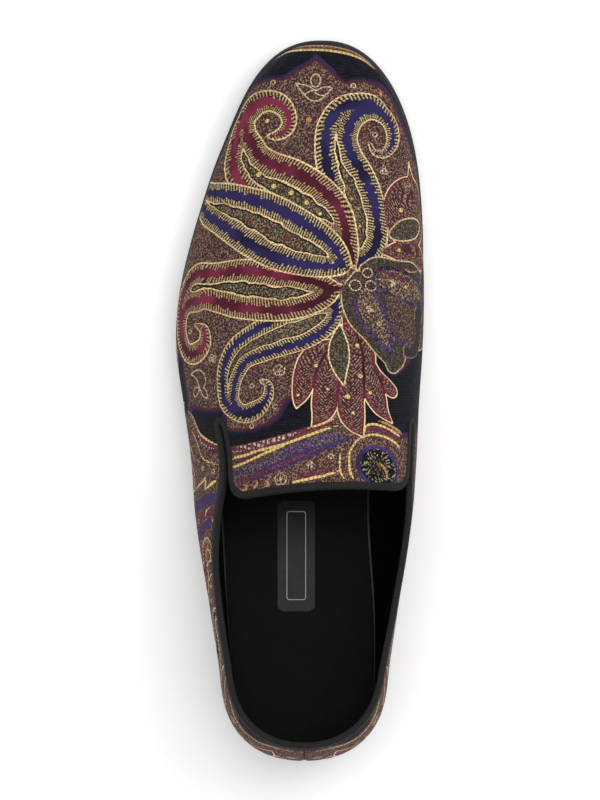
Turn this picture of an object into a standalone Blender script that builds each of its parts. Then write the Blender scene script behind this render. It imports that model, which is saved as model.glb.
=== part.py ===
"""Slip-on evening loafer, left foot: a whole-cut cloth upper with a square tab over the instep,
a taped topline, a thin leather sole and a low stacked heel.

Sizes are in millimetres, measured from the back of the heel (y = 0) to the toe (y = LENGTH), with
x = 0 on the shoe's long axis, the big-toe side at +x and z = 0 on the floor. to_frame() moves them to
the part's own frame: metres, with the origin on the floor under the middle of the shoe.
"""

import math
from collections import namedtuple

import bmesh
import bpy
from mathutils import Vector
from mathutils.bvhtree import BVHTree

MM = 0.001

# Driving sizes, in millimetres.
LENGTH = 300.0  # over the outsole, heel to toe
GAP = 0.3  # between pieces that meet
WALL = 2.0  # cloth, stiffener and lining together
SOLE_THICKNESS = 4.2
SOLE_EDGE = 1.6  # how far the sole stands out past the foot of the upper
SOLE_ROUND = 0.6  # rounding of the sole's edges
HEEL_RISE = 14.0  # floor to the sole's underside at the heel
HEEL_LIFTS = 3
TOP_PIECE = 4.0
HEEL_TAPER = 0.25  # each heel piece stands in by this much under the one above
BREAST = 74.0  # the heel's front face
BREAST_HOLLOW = 2.5
SEAT_END = 75.0  # the sole starts to fall towards the ball here
TREAD_BACK = 183.0  # the flat stretch of the sole that stands on the floor
TREAD_FRONT = 213.0
TOE_SPRING = 10.0
INSOLE_THICKNESS = 3.0

UPPER_TOE = LENGTH - SOLE_EDGE
HEEL_CAP = 34.0  # length of the rounded heel end, in plan
TOE_CAP = 70.0  # length of the rounded toe end, in plan
HEEL_ROUND = 2.2  # exponent of the heel end in plan: 2 is an ellipse, more is squarer
TOE_ROUND = 2.35
TOE_DROP = 45.0  # the crown falls to the toe over this length
TOE_DROP_ROUND = 2.3
TOE_WALL = 6.0  # height of the upright wall at the very tip
CROWN_ROUND = 2.1  # exponent of the section near its crown
HEEL_TUCK = 3.0  # the back seam runs in by this much from its widest point down to the sole
HEEL_CLING = 6.0  # and by this much up to the topline
CLING_HEIGHT = 33.0  # over this height
HEEL_BLEND = 72.0  # the back seam's curve has faded out by here

# One row for each section of the last, heel to toe. half_width and middle are those of the widest line;
# crown and the two bulges (the heights of the widest line) are measured from the foot of the upper;
# shift is the crown's offset as a share of half_width; the curves are exponents, low for a sloping side
# and high for an upright one; the tucks are how far the foot of the wall runs in, as a share of its reach.
Section = namedtuple(
    "Section",
    "name y half_width middle crown shift lateral_curve medial_curve "
    "lateral_bulge medial_bulge lateral_tuck medial_tuck",
)
SECTIONS = (
    Section("heel back", 0.0, 35.0, 0.0, 84.0, 0.00, 2.20, 2.20, 22.0, 22.0, 0.070, 0.070),
    Section("seat", 30.0, 34.6, 0.0, 82.0, 0.02, 2.10, 2.30, 22.0, 23.0, 0.080, 0.090),
    Section("seat front", 60.0, 38.6, -0.1, 79.0, 0.05, 1.90, 2.50, 20.0, 26.0, 0.120, 0.200),
    Section("waist", 100.0, 44.9, -0.2, 74.0, 0.10, 1.60, 2.80, 14.0, 30.0, 0.190, 0.400),
    Section("instep", 125.0, 46.9, -0.2, 68.0, 0.13, 1.50, 2.90, 12.0, 27.0, 0.170, 0.410),
    Section("slit front", 148.0, 49.0, -1.2, 61.5, 0.15, 1.50, 2.80, 11.0, 21.0, 0.110, 0.290),
    Section("outer ball", 172.0, 51.4, -2.0, 55.0, 0.16, 1.55, 2.60, 10.0, 15.0, 0.050, 0.130),
    Section("ball", 195.0, 51.0, -1.0, 48.5, 0.15, 1.65, 2.40, 10.0, 11.0, 0.030, 0.060),
    Section("inner ball", 215.0, 48.2, 1.2, 42.5, 0.13, 1.75, 2.35, 10.0, 10.0, 0.020, 0.030),
    Section("toes", 240.0, 43.7, 4.1, 35.0, 0.10, 1.90, 2.30, 9.0, 9.0, 0.020, 0.020),
    Section("toe box", 265.0, 39.8, 6.6, 29.5, 0.06, 2.10, 2.20, 8.0, 8.0, 0.015, 0.015),
    Section("toe tip", UPPER_TOE, 37.3, 7.2, 26.0, 0.00, 2.20, 2.20, 5.0, 5.0, 0.015, 0.015),
)

# The quarters' topline seen from the side: y from the heel, z from the floor.
TopPoint = namedtuple("TopPoint", "y z")
TOPLINE = (
    TopPoint(0.0, 75.5),
    TopPoint(20.0, 70.5),
    TopPoint(45.0, 63.5),
    TopPoint(75.0, 59.5),
    TopPoint(100.0, 60.5),
    TopPoint(114.0, 60.5),
    TopPoint(128.0, 56.5),
    TopPoint(140.5, 50.2),
)
SLIT_FRONT = 140.5
SLIT_GAP = 2.8  # cloth edge to cloth edge
SLIT_SPREAD = 1.0  # the slit is this much wider at the tab's corner
TAB_END = 113.5
TAB_CORNER = 9.0
TAB_SKEW = 0.082  # the tab's end turns back by this slope towards the little-toe side
TAB_BOW = 0.0023  # and bows, by this much times the square of the distance across

BINDING_DEPTH = 2.2  # how far the tape reaches in from the cloth's edge
BINDING_TAPE = 0.6

LATERAL, MEDIAL = -1, 1

# How finely the surfaces are divided.
LOW_SHARE = 0.2  # share of a side's parameter that lies below its widest line
FRONT_SPLIT = 0.62  # where the edge row of the slits runs out, at the toe
LOW_ROWS = 7  # from the foot of the upper to that row
HIGH_ROWS = 7  # from that row to the crown
BREAST_STEPS = 8
FOLD_STEPS = 6
OUTLINE_STEPS = 400
HEIGHT_STEPS = 12  # rounds that settle a height on the leaning back seam
MERGE = 0.002
SHARP = math.radians(40)


def smoothstep(t):
    t = min(1.0, max(0.0, t))
    return t * t * (3 - 2 * t)


def read_table(rows, column, y):
    """A smooth curve through one column of a table, by cubic pieces with three-point slopes."""
    last = len(rows) - 1
    y = min(max(y, rows[0].y), rows[last].y)
    i = 0
    while i < last - 1 and y > rows[i + 1].y:
        i += 1

    def slope(k):
        a, b = max(k - 1, 0), min(k + 1, last)
        return (getattr(rows[b], column) - getattr(rows[a], column)) / (rows[b].y - rows[a].y)

    start, end = rows[i], rows[i + 1]
    span = end.y - start.y
    t = (y - start.y) / span
    rise = smoothstep(t)
    return (
        getattr(start, column) * (1 - rise)
        + getattr(end, column) * rise
        + span * t * (1 - t) * ((1 - t) * slope(i) - t * slope(i + 1))
    )


def end_cap(distance, length, exponent):
    """Rounds an end off: 0 at the end itself and 1 from length onwards."""
    share = 1 - min(1.0, max(0.0, distance / length))
    return (1 - share**exponent) ** (1 / exponent)


def sole_underside(y):
    if y <= SEAT_END:
        return HEEL_RISE
    if y < TREAD_BACK:
        return HEEL_RISE * smoothstep((TREAD_BACK - y) / (TREAD_BACK - SEAT_END))
    if y <= TREAD_FRONT:
        return 0.0
    return TOE_SPRING * ((y - TREAD_FRONT) / (LENGTH - TREAD_FRONT)) ** 2


def foot_of_upper(y):
    return sole_underside(y) + SOLE_THICKNESS + GAP


def crown_height(y):
    full = read_table(SECTIONS, "crown", y)
    return TOE_WALL + (full - TOE_WALL) * end_cap(UPPER_TOE - y, TOE_DROP, TOE_DROP_ROUND)


def side_column(side, name):
    return ("lateral_" if side == LATERAL else "medial_") + name


def heel_shift(side, y, height):
    """The back seam's curve: how far forward a point at this height moves, fading towards the waist."""
    bulge = read_table(SECTIONS, side_column(side, "bulge"), y)
    if height < bulge:
        run = HEEL_TUCK * ((bulge - height) / bulge) ** 2
    else:
        run = HEEL_CLING * ((height - bulge) / CLING_HEIGHT) ** 2
    return run * (1 - smoothstep(y / HEEL_BLEND))


def surface_point(side, y, share):
    """A point of the upper's outer face: share 0 is its foot, LOW_SHARE its widest line, 1 its crown."""
    ends = end_cap(y, HEEL_CAP, HEEL_ROUND) * end_cap(UPPER_TOE - y, TOE_CAP, TOE_ROUND)
    width = read_table(SECTIONS, "half_width", y) * ends
    shift = read_table(SECTIONS, "shift", y)
    bulge = read_table(SECTIONS, side_column(side, "bulge"), y)
    if share < LOW_SHARE:
        climb = share / LOW_SHARE
        height = bulge * climb
        reach = 1 - read_table(SECTIONS, side_column(side, "tuck"), y) * (1 - climb) ** 2
    else:
        angle = (share - LOW_SHARE) / (1 - LOW_SHARE) * math.pi / 2
        curve = read_table(SECTIONS, side_column(side, "curve"), y)
        height = bulge + (crown_height(y) - bulge) * math.sin(angle) ** (2 / curve)
        reach = max(0.0, math.cos(angle)) ** (2 / CROWN_ROUND)
    crown_x = read_table(SECTIONS, "middle", y) + shift * width
    x = crown_x + side * width * (1 - side * shift) * reach
    return Vector((x, y + heel_shift(side, y, height), foot_of_upper(y) + height))


def share_at_height(side, y, z):
    """The share at which the outer face reaches height z above the floor, above its widest line."""
    bulge = read_table(SECTIONS, side_column(side, "bulge"), y)
    rise = (z - foot_of_upper(y) - bulge) / (crown_height(y) - bulge)
    rise = min(1.0, max(0.0, rise))
    curve = read_table(SECTIONS, side_column(side, "curve"), y)
    angle = math.asin(rise ** (curve / 2))
    return LOW_SHARE + (1 - LOW_SHARE) * angle / (math.pi / 2)


def slit_open(y):
    """0 in front of the slit and 1 behind its round nose."""
    nose = min(1.0, max(0.0, (SLIT_FRONT - y) / (SLIT_GAP / 2)))
    return math.sqrt(1 - (1 - nose) ** 2)


def quarter_share(side, y):
    """Where the quarter's edge runs. In front of the slit, the same row fades into an even one."""
    if y >= SLIT_FRONT:
        start = share_at_height(side, SLIT_FRONT, TOPLINE[-1].z + SLIT_GAP / 2)
        blend = smoothstep((y - SLIT_FRONT) / (UPPER_TOE - SLIT_FRONT))
        return start + (FRONT_SPLIT - start) * blend
    z = read_table(TOPLINE, "z", y)
    for _ in range(HEIGHT_STEPS):
        moved = y + heel_shift(side, y, z - foot_of_upper(y))
        z = read_table(TOPLINE, "z", moved)
    return share_at_height(side, y, z + SLIT_GAP / 2 * (1 - slit_open(y)))


def tab_share(side, y):
    """Where the tab's side edge runs, with its rounded back corner."""
    if y >= SLIT_FRONT:
        return quarter_share(side, y)
    spread = SLIT_SPREAD * ((SLIT_FRONT - y) / (SLIT_FRONT - TAB_END)) ** 2
    z = read_table(TOPLINE, "z", y) + SLIT_GAP / 2 * (1 + slit_open(y)) + spread
    into_corner = min(1.0, max(0.0, (TAB_END + TAB_CORNER - y) / TAB_CORNER))
    z += TAB_CORNER * (1 - math.sqrt(1 - into_corner**2))
    return share_at_height(side, y, z)


def eased(start, end, count, slow_start=False, slow_end=False):
    """Values from start to end, the end itself left out, closer together at a slow end."""
    for i in range(count):
        t = i / count
        if slow_start:
            t = 1 - math.cos(math.pi * t / 2)
        elif slow_end:
            t = math.sin(math.pi * t / 2)
        yield start + (end - start) * t


def section_stations():
    """The y of every column of points, heel to toe, closer together where the outline turns."""
    corner = TAB_END + TAB_CORNER
    nose = SLIT_FRONT - SLIT_GAP / 2
    toes = 240.0
    return (
        *eased(0.0, HEEL_CAP, 9, slow_start=True),
        *eased(HEEL_CAP, TAB_END, 11),
        *eased(TAB_END, corner, 5, slow_start=True),
        *eased(corner, nose, 4),
        *eased(nose, SLIT_FRONT, 4, slow_end=True),
        *eased(SLIT_FRONT, toes, 13),
        *eased(toes, UPPER_TOE, 12, slow_end=True),
        UPPER_TOE,
    )


STATIONS = section_stations()


def grid_share(low, high, row, rows):
    return low + (high - low) * row / rows


def quarter_column(side, y):
    """Points of one column from the foot of the upper to the quarter's edge."""
    edge = quarter_share(side, y)
    return [surface_point(side, y, grid_share(0.0, edge, j, LOW_ROWS)) for j in range(LOW_ROWS + 1)]


def tab_column(side, y):
    """Points of one column from the tab's side edge to the crown, skewed as the tab's end is."""
    edge = tab_share(side, y)
    turned = smoothstep((SLIT_FRONT - y) / (SLIT_FRONT - TAB_END))
    points = []
    for j in range(HIGH_ROWS + 1):
        share = grid_share(edge, 1.0, j, HIGH_ROWS)
        x = surface_point(side, y, share).x
        slide = turned * (TAB_SKEW - TAB_BOW * x) * x
        points.append(surface_point(side, y + slide, share))
    return points


def foot_loop(ys):
    """The foot of the upper in plan: heel back, along the little-toe side to the tip, and home again."""
    lateral = [surface_point(LATERAL, y, 0.0) for y in ys]
    medial = [surface_point(MEDIAL, y, 0.0) for y in ys]
    return [Vector((p.x, p.y)) for p in lateral + medial[-2:0:-1]]


def offset_loop(loop, distance):
    """A closed plan loop moved outwards, or inwards where distance is negative."""
    moved = []
    for i, here in enumerate(loop):
        along = (loop[(i + 1) % len(loop)] - loop[i - 1]).normalized()
        moved.append(here + Vector((-along.y, along.x)) * distance)
    return moved


def widest_middle():
    """x half way between the widest points of the upper."""
    ys = [UPPER_TOE * i / OUTLINE_STEPS for i in range(OUTLINE_STEPS + 1)]
    lateral = min(surface_point(LATERAL, y, LOW_SHARE).x for y in ys)
    medial = max(surface_point(MEDIAL, y, LOW_SHARE).x for y in ys)
    sole = [p.x for p in offset_loop(foot_loop(ys), SOLE_EDGE)]
    return (min(lateral, min(sole)) + max(medial, max(sole))) / 2


MIDDLE_X = widest_middle()


def to_frame(point):
    return Vector((point.x - MIDDLE_X, point.y - LENGTH / 2, point.z)) * MM


def new_material(name, colour, roughness, metallic=0.0):
    material = bpy.data.materials.new(name)
    material.use_nodes = True
    shader = material.node_tree.nodes["Principled BSDF"]
    shader.inputs["Base Color"].default_value = (*colour, 1.0)
    shader.inputs["Roughness"].default_value = roughness
    shader.inputs["Metallic"].default_value = metallic
    return material


def object_from(name, mesh_builder, material):
    """Makes the object from a bmesh whose points are in millimetres in the last's own frame."""
    for vertex in mesh_builder.verts:
        vertex.co = to_frame(vertex.co)
    mesh = bpy.data.meshes.new(name)
    mesh_builder.to_mesh(mesh)
    mesh_builder.free()
    mesh.materials.append(material)
    mesh.shade_smooth()
    mesh.set_sharp_from_angle(angle=SHARP)
    made = bpy.data.objects.new(name, mesh)
    bpy.context.scene.collection.objects.link(made)
    return made


def walls_between(builder, rings):
    """Walls joining closed rings of points, one under another; gives back the rings' vertices."""
    rows = [[builder.verts.new(p) for p in ring] for ring in rings]
    count = len(rows[0])
    for upper, lower in zip(rows, rows[1:]):
        for i in range(count):
            k = (i + 1) % count
            builder.faces.new((upper[i], upper[k], lower[k], lower[i]))
    return rows


def curved_slab(name, rings, material):
    """A closed solid from rings that start at the heel, capped by strips from side to side."""
    builder = bmesh.new()
    rows = walls_between(builder, rings)
    for ring in (rows[0], rows[-1]):
        for i in range(len(ring) // 2):
            corners = (ring[i], ring[i + 1], ring[-i - 1], ring[-i] if i else ring[0])
            builder.faces.new(tuple(dict.fromkeys(corners)))
    bmesh.ops.recalc_face_normals(builder, faces=builder.faces)
    return object_from(name, builder, material)


def flat_slab(name, loop, top, bottom, material):
    """A closed solid with a flat top and underside and upright walls."""
    builder = bmesh.new()
    rings = (raised(loop, lambda y: top), raised(loop, lambda y: bottom))
    for ring in walls_between(builder, rings):
        builder.faces.new(ring)
    bmesh.ops.recalc_face_normals(builder, faces=builder.faces)
    return object_from(name, builder, material)


def raised(loop, height_at):
    return [Vector((p.x, p.y, height_at(min(p.y, LENGTH)))) for p in loop]


def make_outsole(material):
    loop = foot_loop(STATIONS)
    edge = offset_loop(loop, SOLE_EDGE)
    inner = offset_loop(loop, SOLE_EDGE - SOLE_ROUND)

    def top(y):
        return sole_underside(y) + SOLE_THICKNESS

    rings = (
        raised(inner, top),
        raised(edge, lambda y: top(y) - SOLE_ROUND),
        raised(edge, lambda y: sole_underside(y) + SOLE_ROUND),
        raised(inner, sole_underside),
    )
    return curved_slab("outsole", rings, material)


def heel_loop(inset):
    """The heel's outline in plan, with a hollow breast."""
    ys = [y for y in STATIONS if y < BREAST - BREAST_HOLLOW]
    around = offset_loop(foot_loop(STATIONS), SOLE_EDGE - inset)
    lateral = around[: len(ys)]
    medial = around[-len(ys) + 1 :]
    breast = []
    for i in range(BREAST_STEPS + 1):
        across = i / BREAST_STEPS
        x = lateral[-1].x + (medial[0].x - lateral[-1].x) * across
        breast.append(Vector((x, BREAST - inset - BREAST_HOLLOW * 4 * across * (1 - across))))
    return lateral + breast + medial


def make_heel(leather, rubber):
    lift = (HEEL_RISE - TOP_PIECE - GAP * (HEEL_LIFTS + 1)) / HEEL_LIFTS
    ceiling = HEEL_RISE - GAP
    for i in range(HEEL_LIFTS):
        loop = heel_loop(HEEL_TAPER * (i + 1))
        flat_slab(f"heel_lift_{i + 1}", loop, ceiling, ceiling - lift, leather)
        ceiling -= lift + GAP
    flat_slab("heel_top_piece", heel_loop(HEEL_TAPER * (HEEL_LIFTS + 1)), TOP_PIECE, 0.0, rubber)


def make_insole(material):
    loop = offset_loop(foot_loop(STATIONS), -WALL - GAP)

    def under(y):
        return foot_of_upper(y)

    rings = (raised(loop, lambda y: under(y) + INSOLE_THICKNESS), raised(loop, under))
    return curved_slab("insole", rings, material)


def upper_surface():
    """The upper's outer face as one open sheet, cut out by the collar and the two slits."""
    sheet = bmesh.new()
    for side in (LATERAL, MEDIAL):
        quarters = [[sheet.verts.new(p) for p in quarter_column(side, y)] for y in STATIONS]
        tabs = [[sheet.verts.new(p) for p in tab_column(side, y)] for y in STATIONS if y >= TAB_END]
        for columns in (quarters, tabs):
            for near, far in zip(columns, columns[1:]):
                for j in range(len(near) - 1):
                    ring = (near[j], near[j + 1], far[j + 1], far[j])
                    sheet.faces.new(ring if side == LATERAL else ring[::-1])
    bmesh.ops.remove_doubles(sheet, verts=sheet.verts, dist=MERGE)
    bmesh.ops.dissolve_degenerate(sheet, edges=sheet.edges, dist=MERGE)
    sheet.normal_update()
    return sheet


def opening_loop(sheet):
    """The sheet's edge around the collar, tab and slits, in order, starting at its highest vertex."""
    start = max((v for v in sheet.verts if v.is_boundary), key=lambda v: v.co.z)
    loop, previous, here = [start], None, start
    while True:
        ways = [e.other_vert(here) for e in here.link_edges if e.is_boundary]
        following = next(v for v in ways if v is not previous)
        if following is start:
            return loop
        loop.append(following)
        previous, here = here, following


def make_upper(material):
    made = object_from("upper", upper_surface(), material)
    wall = made.modifiers.new("Wall", "SOLIDIFY")
    wall.thickness = WALL * MM
    wall.offset = -1.0
    wall.use_rim = True
    return made


def tape_profile():
    """The folded tape's section: (distance in from the cloth's edge, distance out from its outer face)."""
    out = GAP + BINDING_TAPE
    fold = WALL / 2 + out
    outer = [(BINDING_DEPTH, out)]
    for i in range(FOLD_STEPS + 1):
        angle = math.pi * i / FOLD_STEPS
        outer.append((-math.sin(angle) * out, math.cos(angle) * fold - WALL / 2))
    outer.append((BINDING_DEPTH, -WALL - out))
    inner = [(BINDING_DEPTH, -WALL - GAP), (0.0, -WALL - GAP), (-GAP, -WALL), (-GAP, 0.0), (0.0, GAP)]
    return outer + inner + [(BINDING_DEPTH, GAP)]


def make_binding(material):
    sheet = upper_surface()
    face = BVHTree.FromBMesh(sheet)
    loop = opening_loop(sheet)
    rows = []
    builder = bmesh.new()
    for i, vertex in enumerate(loop):
        along = (loop[(i + 1) % len(loop)].co - loop[i - 1].co).normalized()
        inwards = vertex.normal.cross(along).normalized()
        centre = sum((f.calc_center_median() for f in vertex.link_faces), Vector()) / len(vertex.link_faces)
        if inwards.dot(centre - vertex.co) < 0:
            inwards = -inwards
        row = []
        for depth, out in tape_profile():
            base, normal = vertex.co, vertex.normal
            if depth > GAP:
                base, normal, _, _ = face.find_nearest(vertex.co + inwards * depth)
            point = base + normal * out
            if depth < 0:
                point += inwards * depth
            row.append(builder.verts.new(point))
        rows.append(row)
    for i, row in enumerate(rows):
        following = rows[(i + 1) % len(rows)]
        for j in range(len(row)):
            k = (j + 1) % len(row)
            builder.faces.new((row[j], row[k], following[k], following[j]))
    sheet.free()
    bmesh.ops.recalc_face_normals(builder, faces=builder.faces)
    return object_from("topline_binding", builder, material)


def clear_scene():
    for old in list(bpy.data.objects):
        bpy.data.objects.remove(old)


def main():
    clear_scene()
    cloth = new_material("jacquard_cloth", (0.09, 0.045, 0.04), 0.7)
    tape = new_material("grosgrain_tape", (0.012, 0.012, 0.012), 0.6)
    sole_leather = new_material("sole_leather", (0.02, 0.018, 0.017), 0.45)
    sock_leather = new_material("sock_leather", (0.012, 0.011, 0.011), 0.5)
    rubber = new_material("rubber", (0.015, 0.015, 0.015), 0.7)
    make_outsole(sole_leather)
    make_heel(sole_leather, rubber)
    make_insole(sock_leather)
    make_upper(cloth)
    make_binding(tape)


main()
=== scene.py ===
"""Looks of a left evening loafer: paisley jacquard upper, grosgrain topline, black leather inside.

The frame holds the shoe's solids. Here each of them gets its finished surface, worked out from
the same last: lengths below are in millimetres from the back of the heel (y = 0) to the toe
(y = LENGTH), with the big-toe side at +x and the floor at z = 0, and to_frame() moves them to the
frame, in metres.
"""

import math
from collections import namedtuple

import bmesh
import bpy
import numpy as np
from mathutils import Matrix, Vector
from mathutils.bvhtree import BVHTree


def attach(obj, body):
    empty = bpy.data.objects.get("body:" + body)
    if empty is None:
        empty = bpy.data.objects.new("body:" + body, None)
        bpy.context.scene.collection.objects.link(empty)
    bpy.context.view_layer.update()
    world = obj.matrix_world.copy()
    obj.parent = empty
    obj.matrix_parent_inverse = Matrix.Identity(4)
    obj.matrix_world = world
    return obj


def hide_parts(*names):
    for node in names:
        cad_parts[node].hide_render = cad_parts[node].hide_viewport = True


bl_info = {
    "name": "Evening loafer",
    "version": (1, 0, 0),
    "blender": (4, 5, 0),
    "location": "View3D > Sidebar > Loafer",
    "description": "Builds the finished surfaces of a paisley evening loafer around its solids",
    "category": "Add Mesh",
}

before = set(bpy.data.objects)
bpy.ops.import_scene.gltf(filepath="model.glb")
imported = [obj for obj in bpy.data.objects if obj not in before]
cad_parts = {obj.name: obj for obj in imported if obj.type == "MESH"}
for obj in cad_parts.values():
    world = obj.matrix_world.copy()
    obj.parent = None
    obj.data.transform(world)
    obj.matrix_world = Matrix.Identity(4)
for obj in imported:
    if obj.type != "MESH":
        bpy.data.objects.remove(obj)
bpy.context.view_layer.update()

MM = 0.001
BODY = "root"

# ---- the last, as the solids have it

LENGTH = 300.0
GAP = 0.3
WALL = 2.0
SOLE_THICKNESS = 4.2
SOLE_EDGE = 1.6
HEEL_RISE = 14.0
HEEL_LIFTS = 3
TOP_PIECE = 4.0
HEEL_TAPER = 0.25
BREAST = 74.0
BREAST_HOLLOW = 2.5
SEAT_END = 75.0
TREAD_BACK = 183.0
TREAD_FRONT = 213.0
TOE_SPRING = 10.0
INSOLE_THICKNESS = 3.0

UPPER_TOE = LENGTH - SOLE_EDGE
HEEL_CAP = 34.0
TOE_CAP = 70.0
HEEL_ROUND = 2.2
TOE_ROUND = 2.35
TOE_DROP = 45.0
TOE_DROP_ROUND = 2.3
TOE_WALL = 6.0
CROWN_ROUND = 2.1
HEEL_TUCK = 3.0
HEEL_CLING = 6.0
CLING_HEIGHT = 33.0
HEEL_BLEND = 72.0

Section = namedtuple(
    "Section",
    "name y half_width middle crown shift lateral_curve medial_curve "
    "lateral_bulge medial_bulge lateral_tuck medial_tuck",
)
SECTIONS = (
    Section("heel back", 0.0, 35.0, 0.0, 84.0, 0.00, 2.20, 2.20, 22.0, 22.0, 0.070, 0.070),
    Section("seat", 30.0, 34.6, 0.0, 82.0, 0.02, 2.10, 2.30, 22.0, 23.0, 0.080, 0.090),
    Section("seat front", 60.0, 38.6, -0.1, 79.0, 0.05, 1.90, 2.50, 20.0, 26.0, 0.120, 0.200),
    Section("waist", 100.0, 44.9, -0.2, 74.0, 0.10, 1.60, 2.80, 14.0, 30.0, 0.190, 0.400),
    Section("instep", 125.0, 46.9, -0.2, 68.0, 0.13, 1.50, 2.90, 12.0, 27.0, 0.170, 0.410),
    Section("slit front", 148.0, 49.0, -1.2, 61.5, 0.15, 1.50, 2.80, 11.0, 21.0, 0.110, 0.290),
    Section("outer ball", 172.0, 51.4, -2.0, 55.0, 0.16, 1.55, 2.60, 10.0, 15.0, 0.050, 0.130),
    Section("ball", 195.0, 51.0, -1.0, 48.5, 0.15, 1.65, 2.40, 10.0, 11.0, 0.030, 0.060),
    Section("inner ball", 215.0, 48.2, 1.2, 42.5, 0.13, 1.75, 2.35, 10.0, 10.0, 0.020, 0.030),
    Section("toes", 240.0, 43.7, 4.1, 35.0, 0.10, 1.90, 2.30, 9.0, 9.0, 0.020, 0.020),
    Section("toe box", 265.0, 39.8, 6.6, 29.5, 0.06, 2.10, 2.20, 8.0, 8.0, 0.015, 0.015),
    Section("toe tip", UPPER_TOE, 37.3, 7.2, 26.0, 0.00, 2.20, 2.20, 5.0, 5.0, 0.015, 0.015),
)
TopPoint = namedtuple("TopPoint", "y z")
SLIT_FRONT = 140.5
TOPLINE = (
    TopPoint(0.0, 75.5),
    TopPoint(20.0, 70.5),
    TopPoint(45.0, 63.5),
    TopPoint(75.0, 59.5),
    TopPoint(100.0, 60.5),
    TopPoint(114.0, 60.5),
    TopPoint(128.0, 56.5),
    TopPoint(SLIT_FRONT, 50.2),
)
SLIT_GAP = 2.8
SLIT_SPREAD = 1.0
TAB_END = 113.5
TAB_CORNER = 9.0
TAB_SKEW = 0.082
TAB_BOW = 0.0023
BINDING_DEPTH = 2.2

LATERAL, MEDIAL = -1, 1
LOW_SHARE = 0.2
FRONT_SPLIT = 0.62


def smoothstep(t):
    t = np.clip(t, 0.0, 1.0)
    return t * t * (3 - 2 * t)


def unit(rows):
    return rows / np.linalg.norm(rows, axis=-1, keepdims=True)


def running_length(points):
    """Lengths from the first point to each, along the last axis but one."""
    steps = np.linalg.norm(np.diff(points, axis=-2), axis=-1)
    start = np.zeros((*steps.shape[:-1], 1))
    return np.concatenate((start, np.cumsum(steps, axis=-1)), axis=-1)


def curve_through(knots, values, at, side="left"):
    """Cubic pieces through values at rising knots; values may have columns."""
    last = len(knots) - 1
    before = np.maximum(np.arange(last + 1) - 1, 0)
    after = np.minimum(np.arange(last + 1) + 1, last)
    i = np.clip(np.searchsorted(knots, at, side=side) - 1, 0, last - 1)
    gaps, span = knots[after] - knots[before], knots[i + 1] - knots[i]
    t = (at - knots[i]) / span
    if values.ndim > 1:
        gaps, span, t = gaps[:, None], span[:, None], t[:, None]
    slopes = (values[after] - values[before]) / gaps
    rise = smoothstep(t)
    bend = span * t * (1 - t) * ((1 - t) * slopes[i] - t * slopes[i + 1])
    return values[i] * (1 - rise) + values[i + 1] * rise + bend


def read_table(rows, column, y):
    """A smooth curve through one column of a table."""
    ys = np.array([row.y for row in rows])
    values = np.array([getattr(row, column) for row in rows])
    return curve_through(ys, values, np.clip(y, ys[0], ys[-1]))


def end_cap(distance, length, exponent):
    """Rounds an end off: 0 at the end itself and 1 from length onwards."""
    share = 1 - np.clip(distance / length, 0.0, 1.0)
    return (1 - share**exponent) ** (1 / exponent)


def sole_underside(y):
    y = np.asarray(y, float)
    waist = HEEL_RISE * smoothstep((TREAD_BACK - y) / (TREAD_BACK - SEAT_END))
    spring = TOE_SPRING * (np.maximum(y - TREAD_FRONT, 0.0) / (LENGTH - TREAD_FRONT)) ** 2
    return waist + spring


def foot_of_upper(y):
    return sole_underside(y) + SOLE_THICKNESS + GAP


def crown_height(y):
    full = read_table(SECTIONS, "crown", y)
    return TOE_WALL + (full - TOE_WALL) * end_cap(UPPER_TOE - y, TOE_DROP, TOE_DROP_ROUND)


def side_column(side, name):
    return ("lateral_" if side == LATERAL else "medial_") + name


def heel_shift(side, y, height):
    """How far forward the back seam's curve moves a point, fading towards the waist."""
    bulge = read_table(SECTIONS, side_column(side, "bulge"), y)
    tuck = HEEL_TUCK * (np.maximum(bulge - height, 0.0) / bulge) ** 2
    cling = HEEL_CLING * (np.maximum(height - bulge, 0.0) / CLING_HEIGHT) ** 2
    return (tuck + cling) * (1 - smoothstep(y / HEEL_BLEND))


def surface_point(side, y, share):
    """The outer face: share 0 is its foot, LOW_SHARE its widest line and 1 its crown."""
    y, share = np.broadcast_arrays(np.asarray(y, float), np.asarray(share, float))
    ends = end_cap(y, HEEL_CAP, HEEL_ROUND) * end_cap(UPPER_TOE - y, TOE_CAP, TOE_ROUND)
    width = read_table(SECTIONS, "half_width", y) * ends
    shift = read_table(SECTIONS, "shift", y)
    bulge = read_table(SECTIONS, side_column(side, "bulge"), y)
    climb = np.minimum(share / LOW_SHARE, 1.0)
    tuck = read_table(SECTIONS, side_column(side, "tuck"), y) * (1 - climb) ** 2
    angle = np.clip((share - LOW_SHARE) / (1 - LOW_SHARE), 0.0, 1.0) * math.pi / 2
    curve = read_table(SECTIONS, side_column(side, "curve"), y)
    height = bulge * climb + (crown_height(y) - bulge) * np.sin(angle) ** (2 / curve)
    reach = (1 - tuck) * np.clip(np.cos(angle), 0.0, 1.0) ** (2 / CROWN_ROUND)
    crown_x = read_table(SECTIONS, "middle", y) + shift * width
    x = crown_x + side * width * (1 - side * shift) * reach
    return np.stack((x, y + heel_shift(side, y, height), foot_of_upper(y) + height), axis=-1)


def share_at_height(side, y, z):
    """The share at which the outer face reaches height z above the floor, above its widest line."""
    bulge = read_table(SECTIONS, side_column(side, "bulge"), y)
    rise = np.clip((z - foot_of_upper(y) - bulge) / (crown_height(y) - bulge), 0.0, 1.0)
    curve = read_table(SECTIONS, side_column(side, "curve"), y)
    angle = np.arcsin(rise ** (curve / 2))
    return LOW_SHARE + (1 - LOW_SHARE) * angle / (math.pi / 2)


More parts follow.
